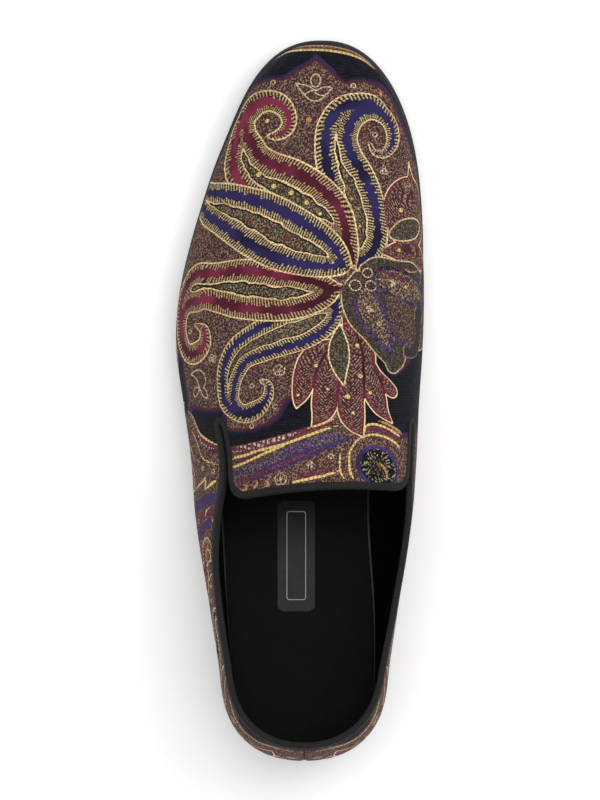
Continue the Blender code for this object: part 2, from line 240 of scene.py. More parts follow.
def slit_open(y):
    """0 in front of the slit and 1 behind its round nose."""
    nose = np.clip((SLIT_FRONT - y) / (SLIT_GAP / 2), 0.0, 1.0)
    return np.sqrt(1 - (1 - nose) ** 2)


def front_share(side, y):
    """In front of the slit, its row fades into an even one."""
    start = share_at_height(side, SLIT_FRONT, TOPLINE[-1].z + SLIT_GAP / 2)
    blend = smoothstep((y - SLIT_FRONT) / (UPPER_TOE - SLIT_FRONT))
    return start + (FRONT_SPLIT - start) * blend


def quarter_share(side, y):
    """Where the quarter's edge runs, and its row in front of the slit."""
    z = read_table(TOPLINE, "z", y)
    for _ in range(12):
        moved = y + heel_shift(side, y, z - foot_of_upper(y))
        z = read_table(TOPLINE, "z", moved)
    edge = share_at_height(side, y, z + SLIT_GAP / 2 * (1 - slit_open(y)))
    return np.where(y >= SLIT_FRONT, front_share(side, y), edge)


def tab_share(side, y):
    """Where the tab's side edge runs, with its rounded back corner."""
    spread = SLIT_SPREAD * (np.maximum(SLIT_FRONT - y, 0.0) / (SLIT_FRONT - TAB_END)) ** 2
    z = read_table(TOPLINE, "z", y) + SLIT_GAP / 2 * (1 + slit_open(y)) + spread
    into_corner = np.clip((TAB_END + TAB_CORNER - y) / TAB_CORNER, 0.0, 1.0)
    z = z + TAB_CORNER * (1 - np.sqrt(1 - into_corner**2))
    return np.where(y >= SLIT_FRONT, front_share(side, y), share_at_height(side, y, z))


def offset_loop(loop, distance):
    """A closed plan loop, as rows of x and y, moved outwards by distance."""
    along = unit(np.roll(loop, -1, axis=0) - np.roll(loop, 1, axis=0))
    return loop + np.stack((-along[:, 1], along[:, 0]), axis=1) * distance


def foot_loop(ys):
    """The foot of the upper in plan, from the heel back along the little-toe side and home."""
    lateral = surface_point(LATERAL, ys, 0.0)[:, :2]
    medial = surface_point(MEDIAL, ys, 0.0)[:, :2]
    return np.concatenate((lateral, medial[-2:0:-1]))


def widest_middle():
    """x half way between the widest points of the shoe, as the solids have it."""
    ys = np.linspace(0.0, UPPER_TOE, 401)
    sole = offset_loop(foot_loop(ys), SOLE_EDGE)[:, 0]
    lateral = min(surface_point(LATERAL, ys, LOW_SHARE)[:, 0].min(), sole.min())
    medial = max(surface_point(MEDIAL, ys, LOW_SHARE)[:, 0].max(), sole.max())
    return (lateral + medial) / 2


MIDDLE_X = widest_middle()
FRAME_SHIFT = np.array((-MIDDLE_X, -LENGTH / 2, 0.0))


def to_frame(points):
    return (np.asarray(points) + FRAME_SHIFT) * MM


# ---- stations and sheets

FINE = 0.8  # spacing of the cloth's points
COARSE = 4  # the hidden back of the cloth keeps one row in this many
SECTION_SAMPLES = 160


def eased(start, end, count, slow_start=False, slow_end=False):
    """Values from start to end, the end itself left out, closer together at a slow end."""
    t = np.arange(count) / count
    if slow_start:
        t = 1 - np.cos(math.pi * t / 2)
    elif slow_end:
        t = np.sin(math.pi * t / 2)
    return start + (end - start) * t


def outline_run():
    """y and the length along the widest line from the heel back, finely stepped."""
    ys = UPPER_TOE * (1 - np.cos(np.linspace(0, math.pi, 4001))) / 2
    return ys, running_length(surface_point(LATERAL, ys, LOW_SHARE))


def even_stations(start, end, spacing):
    """Stations evenly apart along the outline, end left out, in a count that COARSE divides."""
    ys, run = outline_run()
    first, last = np.interp((start, end), ys, run)
    count = COARSE * max(1, round((last - first) / spacing / COARSE))
    walked = first + (last - first) * np.arange(count) / count
    return np.interp(walked, run, ys)


def sheet_stations(spacing):
    corner = TAB_END + TAB_CORNER
    nose = SLIT_FRONT - SLIT_GAP / 2
    rear = even_stations(0.0, TAB_END, spacing)
    parts = (
        rear,
        eased(TAB_END, corner, 12, slow_start=True),
        even_stations(corner, nose, spacing),
        eased(nose, SLIT_FRONT, 8, slow_end=True),
        even_stations(SLIT_FRONT, UPPER_TOE, spacing),
        np.array((UPPER_TOE,)),
    )
    return np.concatenate(parts), len(rear)


def even_shares(side, ys, low, high, rows):
    """Shares between low and high, evenly spaced by length along each section."""
    span = np.linspace(0.0, 1.0, SECTION_SAMPLES + 1)
    shares = low[:, None] + (high - low)[:, None] * span
    run = running_length(surface_point(side, ys[:, None], shares))
    wanted = np.linspace(0.0, 1.0, rows + 1)
    return np.stack([np.interp(wanted * r[-1], r, s) for r, s in zip(run, shares)])


Block = namedtuple("Block", "side points shares stations")


def sheet_blocks(spacing=FINE, low_rows=56, high_rows=56):
    """The upper's outer face as four grids of points: each side's quarter, then each side's tab."""
    ys, tab_start = sheet_stations(spacing)
    quarters, tabs = [], []
    for side in (LATERAL, MEDIAL):
        shares = even_shares(side, ys, np.zeros(len(ys)), quarter_share(side, ys), low_rows)
        points = surface_point(side, ys[:, None], shares)
        quarters.append(Block(side, points, shares, np.broadcast_to(ys[:, None], shares.shape)))
        front = ys[tab_start:]
        shares = even_shares(side, front, tab_share(side, front), np.ones(len(front)), high_rows)
        turned = smoothstep((SLIT_FRONT - front) / (SLIT_FRONT - TAB_END))
        across = surface_point(side, front[:, None], shares)[..., 0]
        slid = front[:, None] + turned[:, None] * (TAB_SKEW - TAB_BOW * across) * across
        tabs.append(Block(side, surface_point(side, slid, shares), shares, slid))
    return quarters + tabs


def block_numbers(blocks, start=0):
    """Vertex numbers of each block's grid, when the blocks follow one another."""
    numbers = []
    for block in blocks:
        shape = block.points.shape[:2]
        numbers.append(np.arange(shape[0] * shape[1]).reshape(shape) + start)
        start += shape[0] * shape[1]
    return numbers


def grid_quads(numbers, flip):
    a, b, c, d = numbers[:-1, :-1], numbers[:-1, 1:], numbers[1:, 1:], numbers[1:, :-1]
    ring = (a, d, c, b) if flip else (a, b, c, d)
    return np.stack(ring, axis=-1).reshape(-1, 4)


def sheet_quads(blocks, numbers):
    return np.concatenate([grid_quads(n, b.side == MEDIAL) for b, n in zip(blocks, numbers)])


def rim_loops(blocks, numbers):
    """The sheet's edges as loops of point numbers: the foot, and the opening with its slits."""
    lateral, medial, lateral_tab, medial_tab = numbers
    slit_at = int(np.argmin(np.abs(blocks[0].stations[:, 0] - SLIT_FRONT)))
    slit_in_tab = slit_at - (lateral.shape[0] - lateral_tab.shape[0])
    foot = np.concatenate((lateral[:-1, 0], medial[:0:-1, 0]))
    opening = np.concatenate(
        (
            lateral[:slit_at, -1],
            lateral_tab[slit_in_tab:0:-1, 0],
            lateral_tab[0, :-1],
            medial_tab[0, :0:-1],
            medial_tab[:slit_in_tab, 0],
            medial[slit_at:0:-1, -1],
        )
    )
    return foot, opening


def merge_points(points):
    """Joins points that share a place: the numbers of those kept, and every point's new number."""
    _, first, group = np.unique(np.round(points, 3), axis=0, return_index=True, return_inverse=True)
    return first, group.reshape(-1)


def merged_faces(group, faces):
    tidied = (tidy_face(group[list(face)]) for face in faces)
    return [face for face in tidied if len(face) > 2]


def as_quads(faces):
    """Faces as rows of four corners, in which a triangle's last corner stands twice."""
    small = (face for face in faces if len(face) < 5)
    return np.array([face if len(face) == 4 else (*face, face[-1]) for face in small])


def tidy_face(corners):
    kept = []
    for corner in corners:
        if not kept or corner != kept[-1]:
            kept.append(int(corner))
    if len(kept) > 1 and kept[0] == kept[-1]:
        kept.pop()
    return kept


def face_normals(points, quads):
    """Point normals of a sheet of quads, weighted by area."""
    across = points[quads[:, 2]] - points[quads[:, 0]]
    along = points[quads[:, 3]] - points[quads[:, 1]]
    turned = np.cross(across, along)
    normals = np.zeros_like(points)
    for corner in range(4):
        np.add.at(normals, quads[:, corner], turned)
    return normals


def link_mesh(name, points, faces):
    """A smooth object from points in millimetres and faces as lists of point numbers."""
    mesh = bpy.data.meshes.new(name)
    mesh.from_pydata(to_frame(points).tolist(), [], [list(map(int, face)) for face in faces])
    mesh.validate(clean_customdata=False)
    mesh.shade_smooth()
    made = bpy.data.objects.new(name, mesh)
    bpy.context.scene.collection.objects.link(made)
    return made


# ---- where the pattern lies

CHART_STATIONS = 401
WALL_SHARE = 0.9  # past this part of its reach the side is a wall, and is charted by its own length

Chart = namedtuple("Chart", "ys run points plan climb")


def build_chart(side):
    """Rows of points from the crown to the foot, with their plan x and climb from the foot."""
    ys = UPPER_TOE * (1 - np.cos(np.linspace(0, math.pi, CHART_STATIONS))) / 2
    run = np.interp(ys, *outline_run())
    points = surface_point(side, ys[:, None], np.linspace(1.0, 0.0, SECTION_SAMPLES + 1))
    down = running_length(points)
    out = np.abs(points[..., 0] - points[:, :1, 0])
    wall = np.argmax(out >= WALL_SHARE * out.max(axis=1, keepdims=True), axis=1)
    rows = np.arange(len(ys))
    past = out[rows, wall][:, None] + down - down[rows, wall][:, None]
    out = np.where(np.arange(out.shape[1]) <= wall[:, None], out, past)
    return Chart(ys, run, points, points[:, :1, 0] + side * out, down[:, -1:] - down)


CHARTS = {side: build_chart(side) for side in (LATERAL, MEDIAL)}


def blend_rows(table, row, column):
    """Reads a table at fractional rows and columns."""
    i = np.clip(np.floor(row).astype(int), 0, table.shape[0] - 2)
    j = np.clip(np.floor(column).astype(int), 0, table.shape[1] - 2)
    s, t = row - i, column - j
    if table.ndim == 3:
        s, t = s[:, None], t[:, None]
    near = table[i, j] * (1 - t) + table[i, j + 1] * t
    far = table[i + 1, j] * (1 - t) + table[i + 1, j + 1] * t
    return near * (1 - s) + far * s


def chart_point(chart, row, reading, wanted):
    """The point between two rows of the chart where a rising reading has the wanted value."""
    i = min(int(row), len(chart.ys) - 2)
    samples = np.arange(chart.points.shape[1])
    found = []
    for k in (i, i + 1):
        column = np.interp(wanted, reading[k], samples)
        found.append(blend_rows(chart.points, np.array([float(k)]), np.array([column]))[0])
    return found[0] + (found[1] - found[0]) * (row - i)


def on_top(x, y):
    """The surface point under plan x at station y; past the edge x goes on down the wall."""
    rows = np.arange(CHART_STATIONS)
    row = float(np.interp(y, CHARTS[LATERAL].ys, rows))
    crown = float(np.interp(y, CHARTS[LATERAL].ys, CHARTS[LATERAL].points[:, 0, 0]))
    side = LATERAL if x < crown else MEDIAL
    chart = CHARTS[side]
    return chart_point(chart, row, side * chart.plan, side * x)


def on_wall(side, run, climb):
    """The surface point at a run along the outline from the heel, and a climb from the foot."""
    chart = CHARTS[side]
    row = float(np.interp(run, chart.run, np.arange(CHART_STATIONS)))
    return chart_point(chart, row, -chart.climb, -climb)


def vertex_charts(block):
    """Chart readings of a block's points: plan x, station, run and climb."""
    chart = CHARTS[block.side]
    stations = block.stations.reshape(-1)
    row = np.interp(stations, chart.ys, np.arange(CHART_STATIONS))
    column = (1 - block.shares.reshape(-1)) * SECTION_SAMPLES
    plan = blend_rows(chart.plan, row, column)
    climb = blend_rows(chart.climb, row, column)
    run = np.interp(stations, chart.ys, chart.run)
    side = np.full(len(stations), float(block.side))
    return np.stack((plan, stations, run, climb, side), axis=1)


# ---- the jacquard's kinds of figure

Kind = namedtuple("Kind", "name widths line stroke comb band dark light")
SOFT_LINE, PALE_LINE, BLACK = (196, 164, 104), (224, 202, 168), (8, 8, 12)
BOTEH_HEART = ("olive", (160, 138, 108))

# widths are depths in from the figure's edge: outline, outer comb, band, inner comb and inner line
BOTEH_WIDTHS = (0.58, 2.7, 6.3, 8.7, 9.3)
LEAF_WIDTHS = (0.6, 0.0, 1.1, 1.1, 1.1)
PETAL_WIDTHS = (0.0, 0.0, 1.9, 1.9, 1.9)
ROSETTE_WIDTHS = (0.0, 0.0, 1.7, 5.6, 5.6)
PANEL_TRIM = 2.2  # the coloured edge round a black panel
PANEL_WIDTHS = (0.0, PANEL_TRIM / 2, PANEL_TRIM, PANEL_TRIM, PANEL_TRIM)
WHOLE = 9.0  # deeper than any line


def outlined(name, width, line, dark, light, stroke="line"):
    """A kind without combs and bands: an outline of one width round a weave of two colours."""
    return Kind(name, (width,) * 5, line, stroke, BLACK, BLACK, dark, light)


def woven(name, dark, light):
    return outlined(name, 0.0, "line", dark, light)


def yarn(name, colour, stroke="gold"):
    return outlined(name, WHOLE, colour, BLACK, BLACK, stroke)


# a colour given by name is one of the panel's
KINDS = (
    woven("ground", "ground", "fleck"),
    Kind("navy boteh", BOTEH_WIDTHS, "line", (206, 184, 134), (38, 31, 44), "navy", *BOTEH_HEART),
    Kind(
        "burgundy boteh", BOTEH_WIDTHS, "line", (200, 170, 124), (56, 29, 36), "burgundy",
        *BOTEH_HEART,
    ),
    Kind(
        "red leaf", LEAF_WIDTHS, "line", "line", (98, 35, 54), (58, 26, 36), (64, 34, 38),
        (176, 142, 118),
    ),
    outlined("olive leaf", 0.6, "line", "olive", (128, 114, 92)),
    yarn("gold line", "gold"),
    woven("purple band", "purple", (92, 66, 96)),
    woven("navy band", (52, 42, 80), (142, 114, 108)),
    woven("maroon band", (86, 30, 54), (128, 84, 84)),
    outlined("ring", 0.45, PALE_LINE, (44, 31, 32), (112, 88, 72)),
    Kind(
        "petal", PETAL_WIDTHS, SOFT_LINE, "line", BLACK, (62, 44, 96), (58, 42, 41),
        (178, 150, 118),
    ),
    yarn("broken line", (216, 190, 164), "line"),
    Kind(
        "rosette", ROSETTE_WIDTHS, "line", (170, 158, 130), (11, 11, 15), (64, 52, 106),
        (12, 12, 15), (120, 104, 84),
    ),
    Kind(
        "black panel", PANEL_WIDTHS, "line", (84, 38, 58), (72, 36, 46), "purple", "black",
        (27, 28, 48),
    ),
    outlined("bud", 0.5, (212, 194, 160), (60, 44, 42), (128, 106, 84)),
    woven("brown weave", (58, 43, 43), (138, 112, 94)),
    outlined("calyx", 0.6, (212, 192, 148), (47, 41, 40), (106, 94, 76)),
    yarn("orange line", (196, 136, 78)),
    woven("red spot", (70, 40, 40), (150, 70, 66)),
    yarn("pale spot", PALE_LINE),
    yarn("dim line", (150, 116, 86)),
    # painted shade: a dark figure with a leaf-like outline, standing in for the shade on the
    # big-toe side where the top turns down into the wall
    outlined("dusk", 1.4, (92, 74, 60), (44, 39, 38), (64, 57, 54)),
)
(
    GROUND, NAVY, BURGUNDY, RED_LEAF, OLIVE_LEAF, GOLD, PURPLE_BAND, NAVY_BAND, MAROON_BAND, RING,
    PETAL, BROKEN, ROSETTE, PANEL, BUD, BROWN, CALYX, ORANGE, RED_SPOT, PALE, DIM, PAINTED_SHADE,
) = range(len(KINDS))

# a layer's figures cover those of the layers before it
LAYERS = 8
PANELS, BANDS, UNDER, MIDDLE, OVER, TOP, LINES, MARKS = range(LAYERS)

Figure = namedtuple("Figure", "layer kind scale side nodes thinning")
ROSETTE_STROKES = 0.5  # how close the rosette's tufts stand, against the combs
TOPSIDE = 0  # a figure drawn in plan rather than on a wall


def figure(layer, kind, *nodes, scale=1.0, side=TOPSIDE, thinning=0.05):
    """A figure through nodes of x, y and half width.

    scale widens its outline and bands, and a boteh's bands thin by thinning as it narrows by 1 mm.
    """
    return Figure(layer, kind, scale, side, nodes, thinning)


def stroke(kind, radius, *places, layer=LINES, side=TOPSIDE, taper=0.4):
    """A line of one thickness with tapered ends, through places given as pairs."""
    last = len(places) - 1
    shares = [taper if i in (0, last) else 1.0 for i in range(len(places))]
    nodes = [(*place, radius * share) for place, share in zip(places, shares)]
    return figure(layer, kind, *nodes, side=side)


def dot(kind, x, y, radius, half, side=TOPSIDE):
    """A round mark, drawn as a spine of twice half long."""
    return figure(MARKS, kind, (x - half, y, radius), (x + half, y, radius), side=side)


def ring(x, y, radius=1.05, side=TOPSIDE):
    return dot(RING, x, y, radius, 0.15, side)


def spot(x, y, radius=0.7, kind=GOLD):
    return dot(kind, x, y, radius, 0.2)


PETAL_REACH, PETAL_RADIUS, FLOWER_TURN = 0.62, 0.45, 0.4  # of a small flower's radius, and radians


def flower(x, y, radius=1.9, petals=5, side=TOPSIDE):
    """A small flower: rings round a middle."""
    found = []
    for i in range(petals):
        angle = 2 * math.pi * i / petals + FLOWER_TURN
        across, up = math.cos(angle), math.sin(angle)
        reach = radius * PETAL_REACH
        found.append(ring(x + reach * across, y + reach * up, radius * PETAL_RADIUS, side))
    return found


def repeated(draw, *places, **same):
    """The same mark at several places."""
    return [draw(*place, **same) for place in places]


SPRAY = (
    figure(
        BANDS, RED_LEAF, (11, 172.5, 3), (7.5, 170.5, 4.6), (4, 166.5, 6.2), (0.8, 161, 5.4),
        (-0.6, 155.5, 4.6), (-1.8, 151.3, 3.2), (-2.8, 148.6, 1.6), (-3.1, 146.4, 0.4),
    ),
    figure(
        UNDER, RED_LEAF, (13, 171, 3), (11.5, 165, 5), (9.6, 159, 5.6), (8.9, 153, 5.7),
        (8.4, 148.4, 5.7), (7.6, 145, 4.6), (5.6, 142, 2.5), (3.2, 139.2, 0.5),
    ),
    figure(
        MIDDLE, RED_LEAF, (16.6, 188, 0.7), (17.4, 182, 1.8), (19, 176, 3.6), (20, 169, 4.8),
        (20, 162, 5.2), (19.6, 155, 5.8), (19.3, 149, 6), (19.8, 144, 5.5), (21.2, 140, 3.8),
        (22.9, 137.2, 1.9), (24.6, 134.6, 0.4),
    ),
    figure(
        UNDER, RED_LEAF, (20, 178, 2.6), (22.8, 174, 4.4), (24.8, 169, 4.9), (25.4, 163, 4.7),
        (27.6, 156.5, 4.9), (29.8, 151, 4.4), (31.4, 147, 3.3), (33.6, 143.8, 1.9),
        (36.5, 140.5, 0.4),
    ),
    figure(
        BANDS, RED_LEAF, (26.5, 165.5, 3), (29.6, 160.3, 3), (33.6, 156.2, 3), (36.2, 153.8, 2.6),
    ),
)
BOTEHS = (
    figure(
        TOP, NAVY, (17.5, 205, 1.8), (13.5, 207.5, 6), (7, 211, 10.3), (-1, 214.5, 13),
        (-9, 218, 14.5), (-17.3, 222.3, 14.5), (-25, 226, 13.1), (-33, 229.5, 11.2), (-41, 232, 9),
        (-49, 234.3, 7), (-57, 236, 4.6), (-64, 237, 1), scale=1.2,
    ),
    figure(
        MIDDLE, BURGUNDY, (-14.8, 259.8, 0.9), (-11.5, 260, 2.1), (-7.8, 262.2, 2.9),
        (-6.3, 265.8, 3.35), (-7.2, 269.8, 3.75), (-10.3, 273.2, 4.45), (-15, 274.5, 4.6),
        (-20, 273, 4.5), (-24, 269, 4.5), (-25.5, 265, 4.75), (-26.1, 261.2, 5.3),
        (-26, 257.6, 6.3), (-25.5, 254, 8.2), (-23.7, 247.6, 11), (-17.2, 241.3, 13.2),
        (-7, 236, 14.7), (2.3, 230.9, 13.8), (10, 226, 10.5), (15, 219, 7.2), (19, 212, 3.8),
        (20.8, 206.5, 1.2), scale=1.24,
    ),
    figure(
        UNDER, NAVY, (27.3, 256.5, 0.8), (29.3, 253, 1.3), (33, 252.3, 1.8), (36, 255.3, 2.4),
        (37.1, 259.6, 2.75), (35.9, 265, 3), (32.3, 269.2, 3.6), (28.3, 271.8, 5.2),
        (23.4, 271.6, 6.4), (17.4, 268.6, 8.1), (14, 262.6, 8.9), (13.4, 256.5, 9.2),
        (15.3, 248, 10.4), (18.5, 241, 11.5), (20.8, 233, 12.5), (22.3, 226, 12.5),
        (23.5, 218, 11.5), (23.5, 211.5, 8), (23, 207.5, 3), scale=1.06, thinning=0.02,
    ),
    figure(
        OVER, BURGUNDY, (-45.3, 181.3, 0.8), (-42, 179.3, 1.9), (-41.3, 175.7, 2.4),
        (-42.2, 172, 3), (-46, 169.2, 4.2), (-50.6, 170.4, 4.2), (-54.7, 176, 4.8),
        (-55.5, 184, 5.5), (-53, 191, 7), (-44, 197, 9), (-35, 197, 10.6), (-25, 196.2, 12.6),
        (-12, 194.5, 12), (-2, 194.5, 10.5), (6, 195, 7.5), (12, 196, 3.5), (16, 196.8, 1.2),
        scale=1.1,
    ),
    figure(
        MIDDLE, NAVY, (-17.8, 158, 0.9), (-15.3, 156.8, 1.6), (-14.7, 153, 2.15),
        (-16.4, 149.2, 2.6), (-21, 145.3, 3.9), (-26.4, 144.6, 3.8), (-30.8, 149, 4.1),
        (-31.5, 156, 4.8), (-30, 163.5, 6), (-26, 169.8, 7), (-18.5, 174, 8.3), (-10, 177.5, 9.3),
        (-1, 180.5, 9.5), (7, 184.5, 8), (12.3, 188.5, 4.1), (15.2, 192.5, 1.2), scale=0.78,
    ),
)
LEAVES = (
    figure(
        OVER, OLIVE_LEAF, (15, 181.5, 0.5), (14.5, 177.5, 2.3), (14.4, 172.5, 4.2),
        (14.5, 167.5, 4.5), (15, 162.5, 3), (15.9, 158.5, 1.4), (16.5, 156, 0.5),
    ),
    figure(
        UNDER, RED_LEAF, (44.2, 249, 0.4), (44.6, 245, 1.3), (45, 241, 3.1), (45, 236.5, 5.8),
        (44.4, 231.5, 8.4), (43.6, 226.5, 9), (41, 221, 6),
    ),
    figure(
        MIDDLE, OLIVE_LEAF, (35.4, 218.4, 0.6), (38.2, 219.2, 3.1), (42, 220.6, 4.7),
        (46, 221.6, 4.4), (50, 222.4, 2.6),
    ),
    figure(
        UNDER, RED_LEAF, (33.2, 211.3, 1.2), (38, 211.8, 3.7), (44, 210.8, 5.2), (51, 208.8, 5),
        (57, 207, 2),
    ),
    figure(MIDDLE, BROWN, (-3.5, 259.3, 0.6), (-4, 257.5, 2.0), (-5.2, 255, 2.0), (-6.6, 253, 0.8)),
    stroke(DIM, 0.4, (-5.6, 258.4), (-4, 259.7), (-2.4, 259.2), (-2.2, 257.6), layer=OVER),
)
LOTUS = (
    figure(
        OVER, CALYX, (22.5, 201, 3), (21.6, 194, 6.1), (25.2, 186.6, 8), (30.8, 180.5, 8),
        (35.1, 175.5, 8), (37.2, 168.6, 5), (36.6, 163.9, 2.7),
    ),
    figure(
        OVER, CALYX, (25, 204.3, 2.4), (28, 204, 4.2), (32, 201.5, 7.6), (38, 199, 8.4),
        (44, 196, 9.2), (52, 192, 9), (60, 189, 6),
    ),
    figure(OVER, CALYX, (34, 186, 9), (42, 182, 9.5), (50, 181, 10), (58, 180, 7)),
    # painted shade where the top turns down into the big-toe wall
    figure(
        OVER, PAINTED_SHADE, (63.5, 213, 0.5), (60.4, 207, 2.2), (56.6, 200, 3.9), (53.4, 193, 5),
        (51, 186, 5.6), (48.6, 178, 6.4), (45, 172.6, 4), (42, 169.4, 1.5), scale=0.3,
    ),
    figure(
        TOP, BROWN, (35.2, 191.5, 1), (38.2, 188, 3.6), (41, 183, 5.2), (42.6, 178, 4),
        (42, 173.8, 1.2),
    ),
    figure(
        TOP, PETAL, (29.6, 200.5, 2.4), (32.5, 200.3, 4.6), (37, 199, 6), (42, 196.8, 6),
        (47.5, 194.5, 5), (55, 191.5, 2.6),
    ),
    figure(
        LINES, PETAL, (24.6, 197, 1.8), (25.2, 193.5, 4), (26.8, 188.5, 5.9), (29.6, 183.3, 5.7),
        (32.4, 178.3, 4.6), (34.5, 173.7, 2.7), (35.6, 169, 0.5),
    ),
    stroke(PURPLE_BAND, 0.7, (37.6, 175.4), (39.6, 173.6), (42, 174.4), (43.6, 176)),
    stroke(MAROON_BAND, 0.7, (30.6, 203.6), (35, 202.6), (40, 201), (44, 198.6), layer=MARKS),
    stroke(ORANGE, 0.4, (41, 205), (44.4, 203.1), (48, 203.6), (55, 206.4), layer=MARKS),
)
TOE = (
    figure(MARKS, BUD, (4.7, 281.8, 1.9), (4.8, 283.4, 2.2), (5, 285.4, 0.6)),
    figure(TOP, BUD, (1.2, 276.9, 1.1), (4.4, 276.6, 2.5), (7.6, 276.9, 1.3)),
    figure(LINES, BUD, (5.4, 278, 1), (8, 278.4, 1.9), (10, 279.4, 1.1), (11.8, 279.9, 0.4)),
    figure(MIDDLE, BUD, (4, 278, 1.2), (1, 278.9, 2.1), (-1.2, 280.3, 1.3), (-3.6, 282, 0.4)),
    figure(
        BANDS, GROUND, (-15, 292.2, 0.4), (-10, 294.9, 0.9), (-4, 296.2, 1.1), (2, 296.7, 1.1),
        (9, 296.6, 1.1), (15, 295.8, 1.1), (21, 294.3, 1.0), (26, 291.8, 0.9), (31, 287.8, 0.4),
    ),
    stroke(
        GOLD, 0.45, (-15, 292), (-10, 294.2), (-5, 295.4), (1, 295.8), (8, 295.7), (15, 294.8),
        (20, 293.6), (25, 291.4), (30, 288),
    ),
    stroke(
        ORANGE, 0.4, (-14.6, 292.4), (-10, 295.6), (-4, 297), (1, 297.5), (9, 297.5), (15, 296.6),
        (20, 295.2), (26, 292.2), (30.6, 288.2),
    ),
)
TAB = (
    figure(
        BANDS, BROWN, (-34, 118.5, 2), (-24, 120.6, 4), (-16, 123.6, 4.4), (-8, 127, 4.4),
        (0, 130.2, 4.2), (8, 133.6, 3.6), (14, 136.2, 2.2), (19, 138, 0.8), scale=3.0,
    ),
    figure(
        BANDS, MAROON_BAND, (-33, 128.2, 1.7), (-20, 131, 1.7), (-10, 133.6, 1.8), (0, 136.6, 1.8),
        (6, 138.8, 1.4), (12, 141.4, 0.8),
    ),
    stroke(
        NAVY_BAND, 1.15, (-31.6, 118), (-27, 119.8), (-16, 123.6), (-5.4, 128), (6, 132.2),
        (16, 136), layer=UNDER, taper=0.7,
    ),
    stroke(NAVY_BAND, 0.7, (-14, 127.2), (-5.4, 130.4), (4, 133.8), (15.8, 137.8), layer=UNDER),
    stroke(PURPLE_BAND, 0.6, (-24, 119), (-10, 124.2), (0, 128.4), (10, 132.4), layer=MIDDLE),
    stroke(
        PURPLE_BAND, 0.85, (-28, 115.6), (-20, 118.2), (-14.2, 120.4), (-6, 123.8), (2.2, 127.2),
        (8.7, 130.1), (15.8, 133.2), (21, 134.8), layer=MIDDLE,
    ),
    stroke(
        MAROON_BAND, 0.7, (-31, 114.6), (-26, 116.6), (-16, 120.6), (-9.5, 123.4), (-5.4, 125.2),
        (-0.7, 127), (4, 128.8), layer=OVER,
    ),
    stroke(
        BROKEN, 0.4, (-31.5, 130), (-25, 131), (-18.4, 132.5), (-12, 134.2), (-7.8, 135.4),
        (-4, 136.2), (0, 137.4),
    ),
    stroke(BROKEN, 0.4, (-31.5, 128.2), (-26, 129), (-18, 131.2), (-10, 133.6), (-4, 135.2)),
    stroke(BROKEN, 0.42, (1, 138.3), (3, 138.6), (5, 139), layer=MARKS),
    stroke(
        GOLD, 0.42, (0.8, 138), (2.8, 138.6), (7.5, 140.2), (10.5, 141.3), (12.3, 142.4),
        (13.4, 144.2),
    ),
    stroke(
        GOLD, 0.55, (-32.5, 125), (-28, 126.2), (-24.2, 127.2), (-20, 128.8), (-16.6, 129.8),
        (-12, 130.8), (-7.8, 131.9), (-0.7, 134.5), (7.5, 137.5), (14.6, 139.6),
    ),
    stroke(
        GOLD, 0.52, (-32.5, 121.2), (-28, 122.7), (-24.2, 124.2), (-20, 126.2), (-16.6, 127.8),
        (-12, 129.7), (-7.8, 131.3),
    ),
    stroke(MAROON_BAND, 0.6, (-31, 123.6), (-24, 125.8), (-17, 128.8), (-10, 130.6), layer=UNDER),
    stroke(
        GOLD, 0.6, (-4.6, 116), (-1, 116.8), (2.2, 117.5), (7.5, 118.6), (11, 119.6), (14.6, 120.6),
        taper=0.8,
    ),
    stroke(MAROON_BAND, 0.8, (-4, 118), (0, 118.8), (5.2, 119.9), (12, 121.4), layer=BANDS),
    stroke(GOLD, 0.4, (17.9, 116.4), (15.6, 119), (14.7, 123), (15, 127.5), (16.4, 132.2)),
    stroke(
        GOLD, 0.48, (21.3, 116.4), (19.4, 119.4), (18.7, 122.8), (18.8, 128), (20.6, 131.6),
        (23.4, 134.4), (27.5, 135.6), (31.5, 135.3), (35.2, 133.9), (37.9, 132.1), (39.8, 129.6),
    ),
    stroke(
        GOLD, 0.48, (24.9, 135.4), (25, 137.6), (25.8, 139.3), (28, 140), (31, 139.6), (35, 138),
        (38.5, 135.8), (40, 134.6),
    ),
    stroke(ORANGE, 0.5, (30.6, 141.4), (33, 140.6), (36, 139.2), (39.4, 136.9), (40.6, 135.6)),
    stroke(MAROON_BAND, 1.5, (25.6, 138), (30, 138.2), (36, 136.4), (39.5, 133.6), layer=BANDS),
    figure(OVER, ROSETTE, (30.5, 122.4, 8.3), (31.1, 122.2, 8.3)),
)
